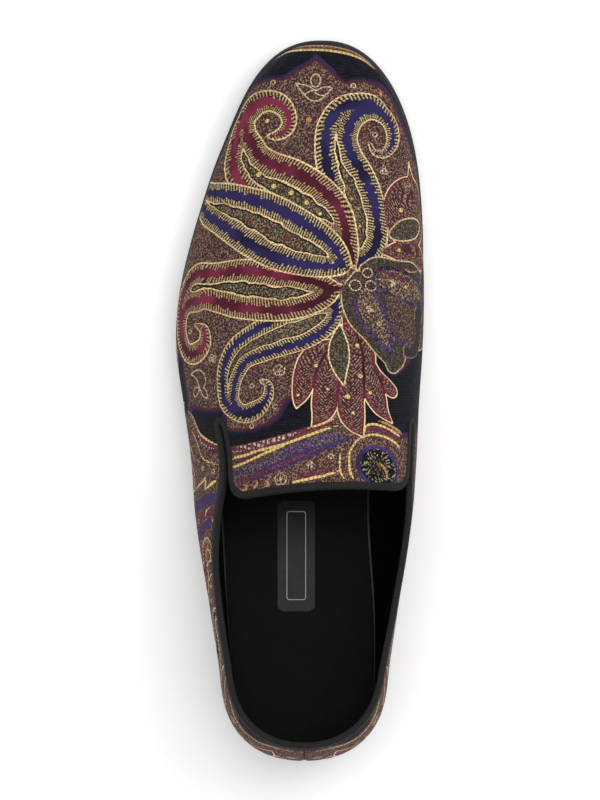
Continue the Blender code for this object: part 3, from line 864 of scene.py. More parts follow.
LATERAL_QUARTER = (
    stroke(
        GOLD, 0.42, (-56, 146), (-50.6, 143.6), (-47.6, 140.8), (-46, 138.8), (-44.4, 136.9),
        (-40.6, 133.6), (-37.2, 131.8), (-34, 130.8),
    ),
    stroke(
        BROKEN, 0.42, (-54, 144.6), (-49.4, 141), (-47.4, 138.6), (-45, 135), (-42.6, 132.2),
        (-40, 130.6), (-37.2, 129.6), (-34, 129),
    ),
    stroke(
        MAROON_BAND, 0.9, (-47.6, 139.6), (-44.8, 136), (-41, 132.6), (-37, 130.6), (-34, 130),
        layer=UNDER,
    ),
    stroke(
        GOLD, 0.42, (-55, 138.4), (-50, 135.2), (-47, 131.6), (-44.4, 127.6), (-40.6, 124.7),
        (-36.9, 123.4), (-34, 122.8),
    ),
    stroke(ORANGE, 0.42, (-52, 126), (-47, 124.4), (-44.2, 123.2)),
    stroke(
        GOLD, 0.5, (-54, 112.6), (-49, 114.4), (-46.2, 115.2), (-43.6, 116), (-41.9, 116.9),
        (-40.9, 118),
    ),
    stroke(GOLD, 0.45, (-40.9, 118), (-41, 115.4), (-41.2, 112.8)),
    stroke(GOLD, 0.52, (-41.2, 112.8), (-38.4, 115.3), (-35.6, 117)),
    figure(BANDS, BROWN, (-46, 110, 2), (-41, 110, 3), (-37, 111, 2), (-33, 112, 1)),
    stroke(
        PURPLE_BAND, 2.2, (-64, 103), (-54, 105.6), (-48, 106.6), (-44, 107.4), (-39, 108.4),
        (-34, 109.6), layer=UNDER, taper=0.7,
    ),
    stroke(
        MAROON_BAND, 1.9, (-60, 97), (-52, 99.4), (-46, 101.4), (-42, 103), (-37, 104.6),
        (-33, 105), layer=UNDER, taper=0.7,
    ),
    stroke(
        PURPLE_BAND, 2.0, (-58, 92.6), (-50, 95), (-44, 97.2), (-39, 99), layer=UNDER, taper=0.7,
    ),
    stroke(GOLD, 0.4, (-39, 105.6), (-40.8, 103.8), (-41.6, 101.4), (-41, 98.6)),
    stroke(GOLD, 0.4, (-37.6, 104), (-36.4, 102), (-36, 99)),
    stroke(GOLD, 0.4, (-35, 103.6), (-36.8, 101.4), (-38.6, 99.4)),
)
SMALL_MARKS = (
    *repeated(
        ring, (-13, 282.2), (20.5, 280.8), (29.5, 260.3), (-47.5, 178.5), (-21.7, 155.8),
        (-12, 147.3), (-21.6, 139.2), (11, 126.8), (-42.8, 121.6), (-37.8, 120.4),
    ),
    *repeated(ring, (33.2, 246.8), (32.4, 244.8), (34.2, 244.6), radius=0.85),
    *repeated(
        spot, (-15.4, 266.1, 0.8), (23.3, 160, 0.9), (18, 151.4, 0.9), (22, 172.6, 0.8),
        (4.9, 164.3, 0.7), (27.3, 153, 0.7), (9.8, 154.5, 0.6), (40.3, 229, 0.9),
        (39.6, 212.3, 0.7), (20.2, 144.7, 0.6), (-2.6, 152, 0.6), (-19, 243.7, 0.95),
        (-12.6, 238.9, 0.95), (-5.4, 236.1, 0.95), (1, 232.1, 0.9), (6.6, 227.4, 0.7),
    ),
    *repeated(
        spot, (17.4, 238), (22.4, 229.5), (23.2, 222.3), (31.9, 278.3), (31.9, 277.2),
        (19.6, 233.6), radius=0.6, kind=ORANGE,
    ),
    *repeated(
        spot, (-7.2, 217, 1.4), (-15.2, 220, 1.1), (-23, 224.2, 1.0), (-1, 214.6, 0.8),
        kind=RED_SPOT,
    ),
    spot(2, 266.5, 1.05, ORANGE),
    *flower(-10.3, 162.3, 2.4),
    *flower(-38.1, 167.3, 1.8, 4),
    *flower(2.5, 123.2, 1.4, 5),
    *flower(-9.7, 117.3, 2.5, 5),
    *repeated(ring, (26.4, 202.8, 2.1), (27.7, 197.4, 2.3), (21.2, 197.6, 2.4), (31.2, 181.6, 1.0)),
    *repeated(
        spot, (26.5, 188.5), (28.2, 187.3), (26.9, 186.9), (36.3, 199.4), (37.5, 198.3),
        (36.4, 197.6), radius=0.62, kind=PALE,
    ),
    spot(42.3, 197, 0.7),
    figure(
        MARKS, BUD, (-47.2, 160.6, 0.5), (-45.6, 160.8, 1.3), (-43.6, 160, 1.9),
        (-42.6, 157.8, 1.9), (-42.8, 155.6, 0.9), (-43.4, 154.6, 0.4),
    ),
    figure(MARKS, BUD, (-43.6, 154.6, 0.4), (-45, 153.4, 1.2), (-45.9, 151.4, 0.5)),
    figure(MARKS, BUD, (-43, 154.6, 0.4), (-41.7, 153.2, 1.2), (-40.4, 151.2, 0.5)),
    stroke(ORANGE, 0.55, (-17.6, 117), (-15.6, 116.6), (-14.9, 115), (-16.2, 113.8), layer=MARKS),
    stroke(ORANGE, 0.55, (-20.2, 117), (-19.5, 115.6), (-20.4, 114), (-21.8, 114.4), layer=MARKS),
    stroke(ORANGE, 0.55, (-25.2, 115), (-23.8, 114.2), (-24.2, 112.8), (-26, 112.8), layer=MARKS),
    stroke(
        ORANGE, 0.45, (30.4, 124), (32.2, 123), (33.6, 121), (34.3, 118.8), (33.8, 116.4),
        layer=MARKS,
    ),
)


def wall_figures(side):
    """The quarters' and walls' figures, run from the heel's back against climb from the foot."""

    def on(layer, kind, *nodes, scale=1.0):
        return figure(layer, kind, *nodes, scale=scale, side=side)

    figures = [
        on(
            OVER, NAVY, (77, 43, 0.9), (80.3, 42.6, 1.8), (82.5, 39.5, 2.4), (81.5, 35.5, 3),
            (77.3, 33, 3.6), (71.5, 34, 4.2), (66, 32.5, 5.6), (62, 26, 8), (57, 20.5, 10),
            (49, 18, 10.6), (41, 19.5, 8.6), (34.5, 23.5, 5.6), (30.5, 28.5, 2.6), (29, 33, 0.9),
            scale=0.92,
        ),
        on(
            MIDDLE, BURGUNDY, (106, 41, 0.9), (109.5, 41.2, 1.8), (112.5, 38.2, 2.4),
            (111.5, 34, 3), (108, 31, 3.6), (103, 30.5, 4.2), (99, 28.5, 5.6), (96.5, 23.5, 7.6),
            (93, 18.5, 8.6), (88, 16, 8), (82.5, 17.5, 6), (79, 21.5, 3.6), (77, 26, 1), scale=0.88,
        ),
        on(
            UNDER, RED_LEAF, (16, 8, 0.7), (19, 13, 3), (21, 20, 5.2), (19.5, 28, 5.6),
            (16.5, 35, 4), (14.5, 42, 0.8),
        ),
        on(UNDER, RED_LEAF, (24, 8, 0.8), (29, 11, 2.6), (34, 12.5, 2.2), (38, 12, 0.8)),
        on(
            OVER, OLIVE_LEAF, (14, 12, 0.6), (12.5, 17, 2.2), (10.8, 23, 3.2), (10.3, 29, 2.8),
            (11, 35, 0.7),
        ),
        on(
            UNDER, OLIVE_LEAF, (99, 46, 0.6), (101.5, 42.5, 2.4), (102, 38, 3.2), (99, 34, 2.2),
            (96, 31.5, 0.7),
        ),
        on(
            UNDER, RED_LEAF, (58, 47, 0.6), (57, 43, 2.6), (53.5, 38.5, 4), (48.5, 35.5, 3.4),
            (44, 35, 0.8),
        ),
        on(
            UNDER, RED_LEAF, (129, 5, 0.8), (133.4, 7.6, 3.1), (137, 12, 4.2), (138, 17.4, 3.5),
            (136, 22.6, 0.8),
        ),
        on(UNDER, OLIVE_LEAF, (62, 3.5, 0.6), (69, 4.5, 2), (76, 6, 2), (82, 5, 0.7)),
        on(
            OVER, RED_LEAF, (178, 4, 0.7), (184, 7, 3), (191, 9.5, 4), (198, 9, 2.6),
            (203, 6.5, 0.7),
        ),
        on(OVER, OLIVE_LEAF, (160, 5, 0.7), (165, 7.5, 2.6), (170, 11, 2.4), (173, 15, 0.7)),
        on(
            BANDS, PURPLE_BAND, (148, 1, 1.2), (148, 8, 1.5), (145, 14, 1.5), (140, 20, 1.4),
            (134, 24, 0.8),
        ),
        on(
            BANDS, NAVY_BAND, (156, 1, 1.2), (155.5, 8, 1.5), (152.5, 14, 1.5), (148, 20, 1.4),
            (142, 24.5, 0.8),
        ),
    ]
    lines = (
        ((152, 1), (152, 8), (149, 14.5), (144, 21), (137, 25.4)),
        ((159.5, 1), (159, 8), (156.4, 14.5), (152, 20.6), (146, 25)),
        ((4, 5), (30, 4.2), (60, 9.5), (75, 11.2), (90, 4), (125, 3.6), (142, 4)),
        ((3, 50), (12, 50.5), (24, 46), (36, 44.5), (50, 50)),
    )
    figures += [stroke(GOLD, 0.5, *line, side=side) for line in lines]
    figures += [
        stroke(BROKEN, 0.42, (3, 2.6), (30, 2.4), (60, 2.2), (100, 1.8), (145, 2), side=side),
        stroke(DIM, 0.45, (165, 2.2), (190, 2.6), (220, 2.6), (250, 3), (275, 3.2), side=side),
    ]
    figures += repeated(
        ring, (6, 14), (27, 30), (24, 37), (68, 24), (88, 33), (94, 36), (73, 14), (122, 27),
        (112, 11), (170, 4), (209, 6), (222, 8), side=side,
    )
    flowers = ((36, 38.5, 2.4), (90, 26.5, 2.2), (120, 18, 2.6, 6), (5.5, 38, 2.2))
    for petals in repeated(flower, *flowers, side=side):
        figures += petals
    return figures


# the black panels: outlines in plan, and on the walls by run and climb
TOP_PANELS = (
    (
        (-24, 281), (-21.5, 283), (-19, 283.8), (-14, 285.2), (-9, 285), (-6, 286.8), (-2, 289.3),
        (2, 291.5), (5, 294.4), (7.5, 292), (11, 288.8), (15, 285.2), (17.5, 283.4), (20, 284.2),
        (25, 284.6), (30, 283), (34, 280.4), (38, 276), (41, 270.5), (43.6, 263.8), (46.4, 260.6),
        (48.4, 255), (50.6, 251), (53.4, 250.4), (56, 253.4), (58.6, 258), (62, 259.6), (66, 258.4),
        (80, 252), (80, 300), (20, 304), (0, 304), (-20, 300), (-42, 284), (-34, 278),
    ),
    (
        (-37, 136.2), (-30, 136), (-25, 136), (-20, 136.8), (-15, 138.6), (-10, 142.4), (-8, 146),
        (-6, 149.5), (0, 152), (6, 150), (10, 144), (8, 140), (0, 136), (-10, 132.6), (-20, 130.6),
        (-31, 130), (-37, 130),
    ),
    (
        (24, 150), (26, 168), (28, 171.5), (31, 169.5), (33, 166), (35, 161), (38, 160), (41, 161),
        (44.5, 165), (47, 173), (49, 182), (58, 186), (78, 180), (78, 150), (60, 140), (40, 136),
        (33, 139.5), (25, 139.5),
    ),
    (
        (-56, 166), (-55.4, 158), (-54.4, 150), (-55.4, 147), (-62, 145), (-75, 148), (-75, 160),
        (-62, 168),
    ),
    (
        (-34, 145), (-38, 144.4), (-42, 144.4), (-47, 146), (-50.4, 145.6), (-48.6, 141.8),
        (-45.6, 138), (-42, 134.4), (-37, 131.6), (-34, 131),
    ),
)
WALL_PANELS = (
    ((-12, 52), (4, 54), (9, 58), (16, 53.5), (24, 49), (33, 48.5), (40, 53), (40, 90), (-12, 90)),
    ((84, 60), (86, 47), (91, 41.5), (97, 44), (103, 46), (107, 50), (107, 60)),
)
PANEL_OUTLINES = (
    *((TOPSIDE, corners) for corners in TOP_PANELS),
    *((side, corners) for corners in WALL_PANELS for side in (LATERAL, MEDIAL)),
)


def smooth_path(nodes, step):
    """Nodes joined by a smooth curve, in all their columns, and resampled about step apart."""
    nodes = np.array(nodes, float)
    knots = running_length(nodes[:, :2])
    at = np.linspace(0.0, knots[-1], max(2, int(knots[-1] / step) + 1))
    return curve_through(knots, nodes, at, side="right")


SPINE_STEP = 0.6
NEAR = 4.0
COMB_SHARE = 0.66  # the most of a curl's half width that its outline and comb take
HEART_PAUSE = 2.1  # a widening boteh's band deepens to here, and waits for this much more
HEART_RAMP = 3.8  # before its inner comb has opened to the full


def figure_spine(drawn):
    """Places along a figure's middle, and half widths, which grow where the surface slopes."""
    path = smooth_path(drawn.nodes, SPINE_STEP)
    radii = np.maximum(path[:, 2], 0.05)
    if drawn.side != TOPSIDE:
        return np.array([on_wall(drawn.side, run, climb) for run, climb, _ in path]), radii
    along = unit(np.gradient(path[:, :2], axis=0))
    across = np.stack((-along[:, 1], along[:, 0]), axis=1) * 0.5
    places = np.array([on_top(x, y) for x, y, _ in path])
    beside = np.array([(on_top(*(p[:2] - a)), on_top(*(p[:2] + a))) for p, a in zip(path, across)])
    stretch = np.clip(np.linalg.norm(beside[:, 1] - beside[:, 0], axis=1), 1.0, 1.6)
    if len(stretch) > 8:
        stretch = np.convolve(np.pad(stretch, 3, mode="edge"), np.ones(7) / 7, mode="valid")
    return places, radii * stretch


def boteh_depth(depth, radius, widest, scale, thinning):
    """Depths as BOTEH_WIDTHS counts them: thin curls keep their combs and give up their hearts."""
    line, comb = BOTEH_WIDTHS[:2]
    comb_end = np.minimum(comb * scale, COMB_SHARE * radius)
    line_end = np.minimum(line * scale, 0.85 * comb_end)
    rest = scale * np.clip(1 - thinning * (widest - radius), 0.4, 1.0)
    heart = np.maximum((radius - comb_end) / rest, 0.1)
    opened = (heart - HEART_PAUSE) / HEART_RAMP
    eased_heart = HEART_PAUSE + HEART_RAMP * opened**2
    rest = rest * heart / np.where((opened > 0) & (opened < 1), eased_heart, heart)
    in_comb = line + (depth - line_end) / (comb_end - line_end) * (comb - line)
    counted = np.where(depth < comb_end, in_comb, comb + (depth - comb_end) / rest)
    return np.where(depth < line_end, depth / line_end * line, counted)


def figure_reading(points, drawn):
    """Numbers of the points near a figure, their depth inside its edge and length round it."""
    spine, radii = figure_spine(drawn)
    reach = radii.max() + NEAR
    low, high = spine.min(axis=0) - reach, spine.max(axis=0) + reach
    found = np.flatnonzero(np.all((points > low) & (points < high), axis=1))
    if not len(found):
        return found, None, None
    offsets = points[found][:, None, :] - spine[None]
    away = np.linalg.norm(offsets, axis=2)
    depth = radii[None] - away
    best = np.argmax(depth, axis=1)
    rows = np.arange(len(found))
    inner = np.clip(best, 1, len(spine) - 2) if len(spine) > 2 else np.zeros(len(found), int)
    peak = depth[rows, best]
    shift = np.zeros(len(found))
    if len(spine) > 2:
        low, mid, high = depth[rows, inner - 1], depth[rows, inner], depth[rows, inner + 1]
        bow = low - 2 * mid + high
        free = (best == inner) & (bow < -1e-9)
        shift = np.where(free, 0.5 * (low - high) / np.where(free, bow, -1.0), 0.0)
        peak = np.where(free, mid - 0.25 * (low - high) * shift, peak)
    lengths = running_length(spine)
    shift = shift * lengths[-1] / (len(spine) - 1)
    along = unit(np.gradient(spine, axis=0))
    past = np.einsum("ij,ij->i", offsets[rows, best], along[best]) - shift
    lean = past / np.maximum(away[rows, best], 1e-6)
    turn = np.arcsin(np.clip(lean, -1.0, 1.0)) * radii[best]
    along_edge = lengths[best] + shift + turn
    if drawn.kind in (NAVY, BURGUNDY):
        depth = boteh_depth(peak, radii[best], radii.max(), drawn.scale, drawn.thinning)
        return found, depth, along_edge
    return found, peak / drawn.scale, along_edge


def panel_reading(charts, side, corners):
    """Signed depth of every point inside a panel's outline, measured on the chart."""
    corners = np.array(corners, float)
    if side == TOPSIDE:
        flat = charts[:, :2]
        asked = np.arange(len(flat))
    else:
        asked = np.flatnonzero(charts[:, 4] == side)
        flat = charts[asked][:, 2:4]
    ends = np.roll(corners, -1, axis=0)
    nearest = np.full(len(flat), np.inf)
    inside = np.zeros(len(flat), bool)
    x, y = flat.T
    for (ax, ay), (bx, by) in zip(corners, ends):
        across, up = bx - ax, by - ay
        t = np.clip(((x - ax) * across + (y - ay) * up) / (across**2 + up**2), 0.0, 1.0)
        nearest = np.minimum(nearest, np.hypot(x - ax - t * across, y - ay - t * up))
        crosses = (ay > y) != (by > y)
        inside ^= crosses & (x < ax + (y - ay) / (up or 1.0) * across)
    return asked, np.where(inside, nearest, -nearest) + PANEL_TRIM


def pattern_layers(points, charts):
    """Per layer and point: depth inside the nearest figure, length round its edge, and its kind.

    On red leaves the second reading is the depth inside all of them together, so that leaves
    which overlap share one outline and keep their own rims.
    """
    layers = np.zeros((LAYERS, len(points), 3), np.float32)
    layers[:, :, 0] = -NEAR
    for side, corners in PANEL_OUTLINES:
        asked, depth = panel_reading(charts, side, corners)
        wins = depth > layers[PANELS, asked, 0]
        layers[PANELS, asked[wins], 0] = depth[wins]
        layers[PANELS, asked[wins], 2] = PANEL
    drawn = [*SPRAY, *BOTEHS, *LEAVES, *LOTUS, *TOE, *TAB, *LATERAL_QUARTER, *SMALL_MARKS]
    for side in (LATERAL, MEDIAL):
        drawn += wall_figures(side)
    leaf_depth = np.full(len(points), -NEAR, np.float32)
    for item in drawn:
        found, depth, along = figure_reading(points, item)
        if not len(found):
            continue
        if item.kind == RED_LEAF:
            leaf_depth[found] = np.maximum(leaf_depth[found], depth)
        if item.kind == ROSETTE:
            along = along * ROSETTE_STROKES
        layer = layers[item.layer]
        wins = depth > layer[found, 0]
        readings = (depth[wins], along[wins], np.full(wins.sum(), item.kind))
        layer[found[wins]] = np.stack(readings, axis=1)
    for layer in layers:
        leaves = layer[:, 2] == RED_LEAF
        layer[leaves, 1] = leaf_depth[leaves]
    return layers


# ---- shader maths


def linear(colour):
    """A colour of 0 to 255 steps as the shader's own light values."""
    parts = (part / 255 for part in colour)
    return tuple(p / 12.92 if p <= 0.04045 else ((p + 0.055) / 1.055) ** 2.4 for p in parts)


def arithmetic(operation, swapped=False):
    """A method that adds a Math node; swapped ones take the socket as their second number."""

    def apply(self, other):
        pair = (other, self) if swapped else (self, other)
        return self.graph.math(operation, *pair)

    return apply


class Value:
    """A shader socket, on which arithmetic adds Math nodes."""

    def __init__(self, graph, socket):
        self.graph = graph
        self.socket = socket

    __add__ = __radd__ = arithmetic("ADD")
    __sub__ = arithmetic("SUBTRACT")
    __rsub__ = arithmetic("SUBTRACT", swapped=True)
    __mul__ = __rmul__ = arithmetic("MULTIPLY")
    __truediv__ = arithmetic("DIVIDE")
    __gt__ = arithmetic("GREATER_THAN")
    __lt__ = arithmetic("LESS_THAN")


class Graph:
    """A material's nodes, with its Principled shader ready."""

    def __init__(self, name):
        self.material = bpy.data.materials.new(name)
        self.material.use_nodes = True
        self.tree = self.material.node_tree
        self.shader = self.tree.nodes["Principled BSDF"]

    def node(self, kind, settings=None, inputs=None, output=0):
        """Adds a node, with its settings first and then the values or links of its sockets."""
        made = self.tree.nodes.new("ShaderNode" + kind)
        for key, value in (settings or {}).items():
            if key == "stops":
                self.set_stops(made.color_ramp, value)
            else:
                setattr(made, key, value)
        for key, value in (inputs or {}).items():
            self.feed(made.inputs[key], value)
        return Value(self, made.outputs[output])

    def feed(self, socket, value):
        if isinstance(value, Value):
            self.tree.links.new(value.socket, socket)
        else:
            socket.default_value = value

    def set_stops(self, ramp, stops):
        ramp.interpolation = "CONSTANT"
        while len(ramp.elements) < len(stops):
            ramp.elements.new(0.5)
        for element, (place, colour) in zip(ramp.elements, stops):
            element.position = place
            element.color = (*colour, 1.0)

    def math(self, operation, *values):
        return self.node("Math", {"operation": operation}, dict(enumerate(values)))

    def vector(self, operation, *values):
        return self.node("VectorMath", {"operation": operation}, dict(enumerate(values)))

    def mix(self, factor, a, b, blend="MIX"):
        inputs = {0: factor, 6: self.paint(a), 7: self.paint(b)}
        return self.node("Mix", {"data_type": "RGBA", "blend_type": blend}, inputs, 2)

    def shaded(self, colour, shade):
        return self.mix(1.0, colour, shade, "MULTIPLY")

    def mix_vector(self, factor, a, b):
        return self.node("Mix", {"data_type": "VECTOR"}, {0: factor, 4: a, 5: b}, 1)

    def paint(self, colour):
        return colour if isinstance(colour, Value) else (*linear(colour), 1.0)

    def place(self):
        """Object coordinates in millimetres."""
        found = self.node("TexCoord", output=3)
        return self.stretched(found, *(1 / MM,) * 3)

    def reading(self, name):
        return self.node("Attribute", {"attribute_name": name}, output=1)

    def parts(self, vector):
        split = self.node("SeparateXYZ", inputs={0: vector})
        outputs = split.socket.node.outputs
        return tuple(Value(self, outputs[i]) for i in range(3))

    def stretched(self, vector, x, y, z):
        return self.vector("MULTIPLY", vector, (x, y, z))

    def noise(self, vector, size, detail=2.0, roughness=0.5):
        """Noise of 0 to 1 with features about size millimetres across."""
        inputs = {"Vector": vector, "Scale": 1.0 / size, "Detail": detail, "Roughness": roughness}
        return self.node("TexNoise", inputs=inputs)

    def patches(self, vector, size, low, high, detail=2.0):
        """Noise in which all under low is 0 and all over high is 1."""
        return self.smooth(self.noise(vector, size, detail), low, high)

    def cells(self, vector, size):
        """Distance from the middle of the nearest cell, in cell sizes, and each cell's number."""
        near = self.node("TexVoronoi", inputs={"Vector": vector, "Scale": 1.0 / size})
        tint = Value(self, near.socket.node.outputs["Color"])
        return near, self.node("SeparateColor", inputs={0: tint})

    def smooth(self, value, start, end):
        inputs = {"Value": value, "From Min": start, "From Max": end}
        return self.node("MapRange", {"interpolation_type": "SMOOTHSTEP"}, inputs)

    def wave(self, value, pitch):
        """A ridge profile of 0 to 1 that repeats every pitch."""
        return self.math("SINE", value * (2 * math.pi / pitch)) * 0.5 + 0.5

    def between(self, value, low, high):
        return self.math("MULTIPLY", value > low, value < high)

    def is_kind(self, kind, first, last=None):
        """1 where the kind's number is first, or from first to last."""
        return self.between(kind, first - 0.5, (last or first) + 0.5)

    def bump(self, height, distance, strength=1.0):
        inputs = {"Strength": strength, "Distance": distance, "Height": height}
        return self.node("Bump", inputs=inputs)

    def finish(self, **sockets):
        """Sets the shader's sockets, whose names are given with underscores for spaces."""
        for name, value in sockets.items():
            self.feed(self.shader.inputs[name.replace("_", " ")], value)
        return self.material


def kind_stops(name, colours):
    """Ramp stops that read one colour of every kind from its number."""
    picked = (getattr(kind, name) for kind in KINDS)
    shades = (tuple(getattr(colours, c)) if isinstance(c, str) else linear(c) for c in picked)
    return [(i / len(KINDS), shade) for i, shade in enumerate(shades)]


def width_stops(picked):
    """Ramp stops that read three of every kind's widths, in tenths."""
    count = len(KINDS)
    return [(i / count, tuple(kind.widths[j] / 10 for j in picked)) for i, kind in enumerate(KINDS)]


# how the cloth is woven, in millimetres
FRAY, FRAY_SIZE = 0.3, 0.55  # how far every edge is frayed, and the size of the frays
STROKE_PITCH, STROKE_LEAN = 1.28, 0.3  # of the combs' teeth
BARB_PITCH = 0.95
FLECK_SIZE = 0.62
CHEVRON_PITCH = 1.5
RIB_PITCH = 1.05  # of the black panels
ROPE_PITCH = 1.85  # of the slanting stitches in the outlines
DASH_PITCH, DASH_SHARE = 2.3, 0.62
RING_PITCH = 1.3
WEFT_PITCH, WARP_PITCH = 0.62, 0.5
# on the toe's steep wall the weft leans, so that its ribs don't ring the last's contours
WEFT_SLOPE, SLOPE_START, SLOPE_END, SLOPE_LEVEL = 0.7, 126.0, 148.0, 24.0
SPRAY_MIDDLE = (19.0, 50.0)  # where the figures meet; the burgundy ones darken towards it
DARKEST, UNDARKENED = 22.0, 44.0  # distances from there
SEAM_START, SEAM_END = 0.2, 0.5
CLOTH_BUMP = 0.00022  # metres

GROUND_READING = (5.0, 0.0, 0.0)  # the ground lies deep inside its own kind
# of the next three, the second darkens the bands in patches: painted shade that stands in for their
# uneven sheen
HEART_RIM, BAND_DARKENING_TINT, BRONZE = (24, 20, 20), (132, 134, 130), (176, 118, 66)
# the first of the next two darkens the outline cord between its slanting stitches: painted shade in
# the grooves
ROPE_GROOVE_SHADE, STROKE_SHADE = (170, 140, 118), (176, 160, 142)
# the middle one of the next three is a painted glint for the gold yarn
GAP_YARN, PAINTED_GLINT, SEAM_SHADE = (70, 44, 46), (250, 236, 200), (20, 14, 16)


def figure_readings(graph):
    """Depth, length round the edge and kind of the topmost figure at each place."""
    found = graph.reading("layer_0")
    depth, _, _ = graph.parts(found)
    found = graph.mix_vector(depth > 0.0, GROUND_READING, found)
    for i in range(1, LAYERS):
        layer = graph.reading(f"layer_{i}")
        depth, _, _ = graph.parts(layer)
        found = graph.mix_vector(depth > 0.0, found, layer)
    return graph.parts(found)


def kind_colours(graph, step, colours):
    """A ramp for each colour of a kind, read at the kind's step."""
    names = ("line", "stroke", "comb", "band", "dark", "light")
    stops = {name: {"stops": kind_stops(name, colours)} for name in names}
    return {name: graph.node("ValToRGB", settings, {0: step}) for name, settings in stops.items()}


def kind_widths(graph, step):
    """Depths where the outline, outer comb, band, inner comb and inner line end."""
    first = graph.node("ValToRGB", {"stops": width_stops((0, 1, 2))}, {0: step})
    second = graph.node("ValToRGB", {"stops": width_stops((3, 4, 4))}, {0: step})
    outer = [part * 10.0 for part in graph.parts(first)]
    inner = [part * 10.0 for part in graph.parts(second)]
    return (*outer, *inner[:2])


def jacquard_material(colours):
    graph = Graph("jacquard_cloth")
    place = graph.place()
    x, y, z = graph.parts(place)
    depth, along, kind = figure_readings(graph)
    step = (kind + 0.5) / len(KINDS)
    ramp = kind_colours(graph, step, colours)
    line_end, comb_end, band_end, inner_comb_end, inner_line_end = kind_widths(graph, step)

    # every edge is a little frayed, and the botehs' hearts wander
    ragged = graph.noise(place, FRAY_SIZE, 1.0) - 0.5
    blot = graph.noise(place, 1.1, 1.0)
    is_boteh = graph.is_kind(kind, NAVY, BURGUNDY)
    is_leaf = graph.is_kind(kind, RED_LEAF)
    is_rosette = graph.is_kind(kind, ROSETTE)
    is_panel = graph.is_kind(kind, PANEL)
    edge = depth + is_leaf * (along - depth)
    edge = graph.math("MAXIMUM", edge + ragged * FRAY, 0.001)
    depth = graph.math("MAXIMUM", depth + ragged * FRAY, 0.001)
    drift = graph.noise(place, 6.0, 1.0)
    along = along + is_rosette * graph.noise(place, 2.6, 1.0) * 2.0
    wobble = (drift - 0.5) * is_boteh * 2.6
    inner_comb_end = inner_comb_end + wobble
    inner_line_end = inner_line_end + wobble

    # combs: leaning teeth of many lengths, swelling where they are barbed
    leaning = (along + depth * STROKE_LEAN) / STROKE_PITCH
    number = graph.math("FLOOR", leaning)
    lot = graph.node("TexWhiteNoise", {"noise_dimensions": "1D"}, {"W": number})
    off_middle = graph.math("ABSOLUTE", leaning - number + ragged * 0.38 - 0.5)
    barb = graph.wave(depth + lot * 2.0, BARB_PITCH)
    poke = (lot - 0.45) * 1.3
    outer = graph.between(depth, line_end, comb_end + poke)
    inner = graph.between(depth, band_end - poke, inner_comb_end)
    is_ring = graph.is_kind(kind, RING)
    is_petal = graph.is_kind(kind, PETAL)
    tuft = 1.0 - is_rosette * (blot < 0.49)
    outer = outer * (comb_end > line_end + 0.5)
    inner = inner * (inner_comb_end > band_end + 0.9)
    tooth = graph.math("MAXIMUM", outer, inner) * (off_middle < 0.15 + barb * 0.13)
    stitch = tooth * tuft * (1.0 - is_leaf)

    # cores and grounds: short flecks, and on the red leaves rows of strokes that meet at the rib
    worm = graph.noise(graph.stretched(place, 1.0, 0.8, 1.0), FLECK_SIZE, 1.0, 0.6)
    speck = graph.smooth(worm, 0.515, 0.585)
    rows = graph.wave(y + depth * 1.1 + drift * 3.0, CHEVRON_PITCH)
    chevron = graph.smooth(rows + ragged * 2.0, 0.45, 0.7)
    chevron = chevron * graph.patches(place, 0.85, 0.44, 0.54, 1.0)
    speck = speck * (1.0 - is_leaf) + chevron * is_leaf
    bright = graph.patches(place, 1.1, 0.25, 0.75)
    core = graph.mix(speck * (0.42 + bright * 0.62), ramp["dark"], ramp["light"])
    rim = graph.between(depth, inner_line_end, inner_line_end + 0.5) * is_boteh
    core = graph.mix(rim, core, HEART_RIM)

    # black panels: cords that run across the shoe
    laid = y - (z - SLOPE_LEVEL) * graph.smooth(y, SLOPE_START, SLOPE_END) * WEFT_SLOPE
    rib = graph.wave(laid + ragged * 0.25, RIB_PITCH)
    lit_rib = graph.smooth(rib, 0.5, 0.9) * graph.patches(place, 2.4, 0.35, 0.65)
    core = graph.mix(is_panel, core, graph.mix(lit_rib, ramp["dark"], ramp["light"]))

    # the outline yarn: a cord of slanting stitches, cream in one place and bronze in another, with
    # painted shade in the grooves between the stitches
    rope = graph.smooth(graph.wave(along + depth * 1.4 + ragged * 0.9, ROPE_PITCH), 0.12, 0.6)
    cord = graph.mix(graph.patches(place, 11.0, 0.5, 0.66) * 0.5, ramp["line"], BRONZE)
    cord = graph.mix((1.0 - rope) * 0.8, cord, graph.shaded(cord, ROPE_GROOVE_SHADE))
    colour = graph.mix(graph.between(depth, inner_comb_end, inner_line_end), core, cord)
    colour = graph.mix(depth < inner_comb_end, colour, ramp["comb"])

    # bands: darker in patches, painted shade that stands in for their uneven sheen, petals in
    # smaller patches too, and the burgundy ones darker near the spray's middle
    band_darkening = graph.patches(place, 21.0, 0.42, 0.62, 1.0) * 0.85
    band_darkening = graph.math("MAXIMUM", band_darkening, is_petal * graph.patches(place, 4.0, 0.4, 0.6))
    off_x, off_y = x - SPRAY_MIDDLE[0], y - SPRAY_MIDDLE[1]
    from_middle = graph.math("SQRT", off_x * off_x + off_y * off_y)
    is_burgundy = graph.is_kind(kind, BURGUNDY)
    undarkened = graph.smooth(from_middle + drift * 12.0, DARKEST, UNDARKENED)
    band_darkening = graph.math("MAXIMUM", band_darkening, is_burgundy * (1.0 - undarkened))
    band = graph.mix(band_darkening, ramp["band"], graph.shaded(ramp["band"], BAND_DARKENING_TINT))
    band = graph.mix(is_petal * speck * 0.2, band, ramp["light"])
    colour = graph.mix(depth < band_end, colour, band)

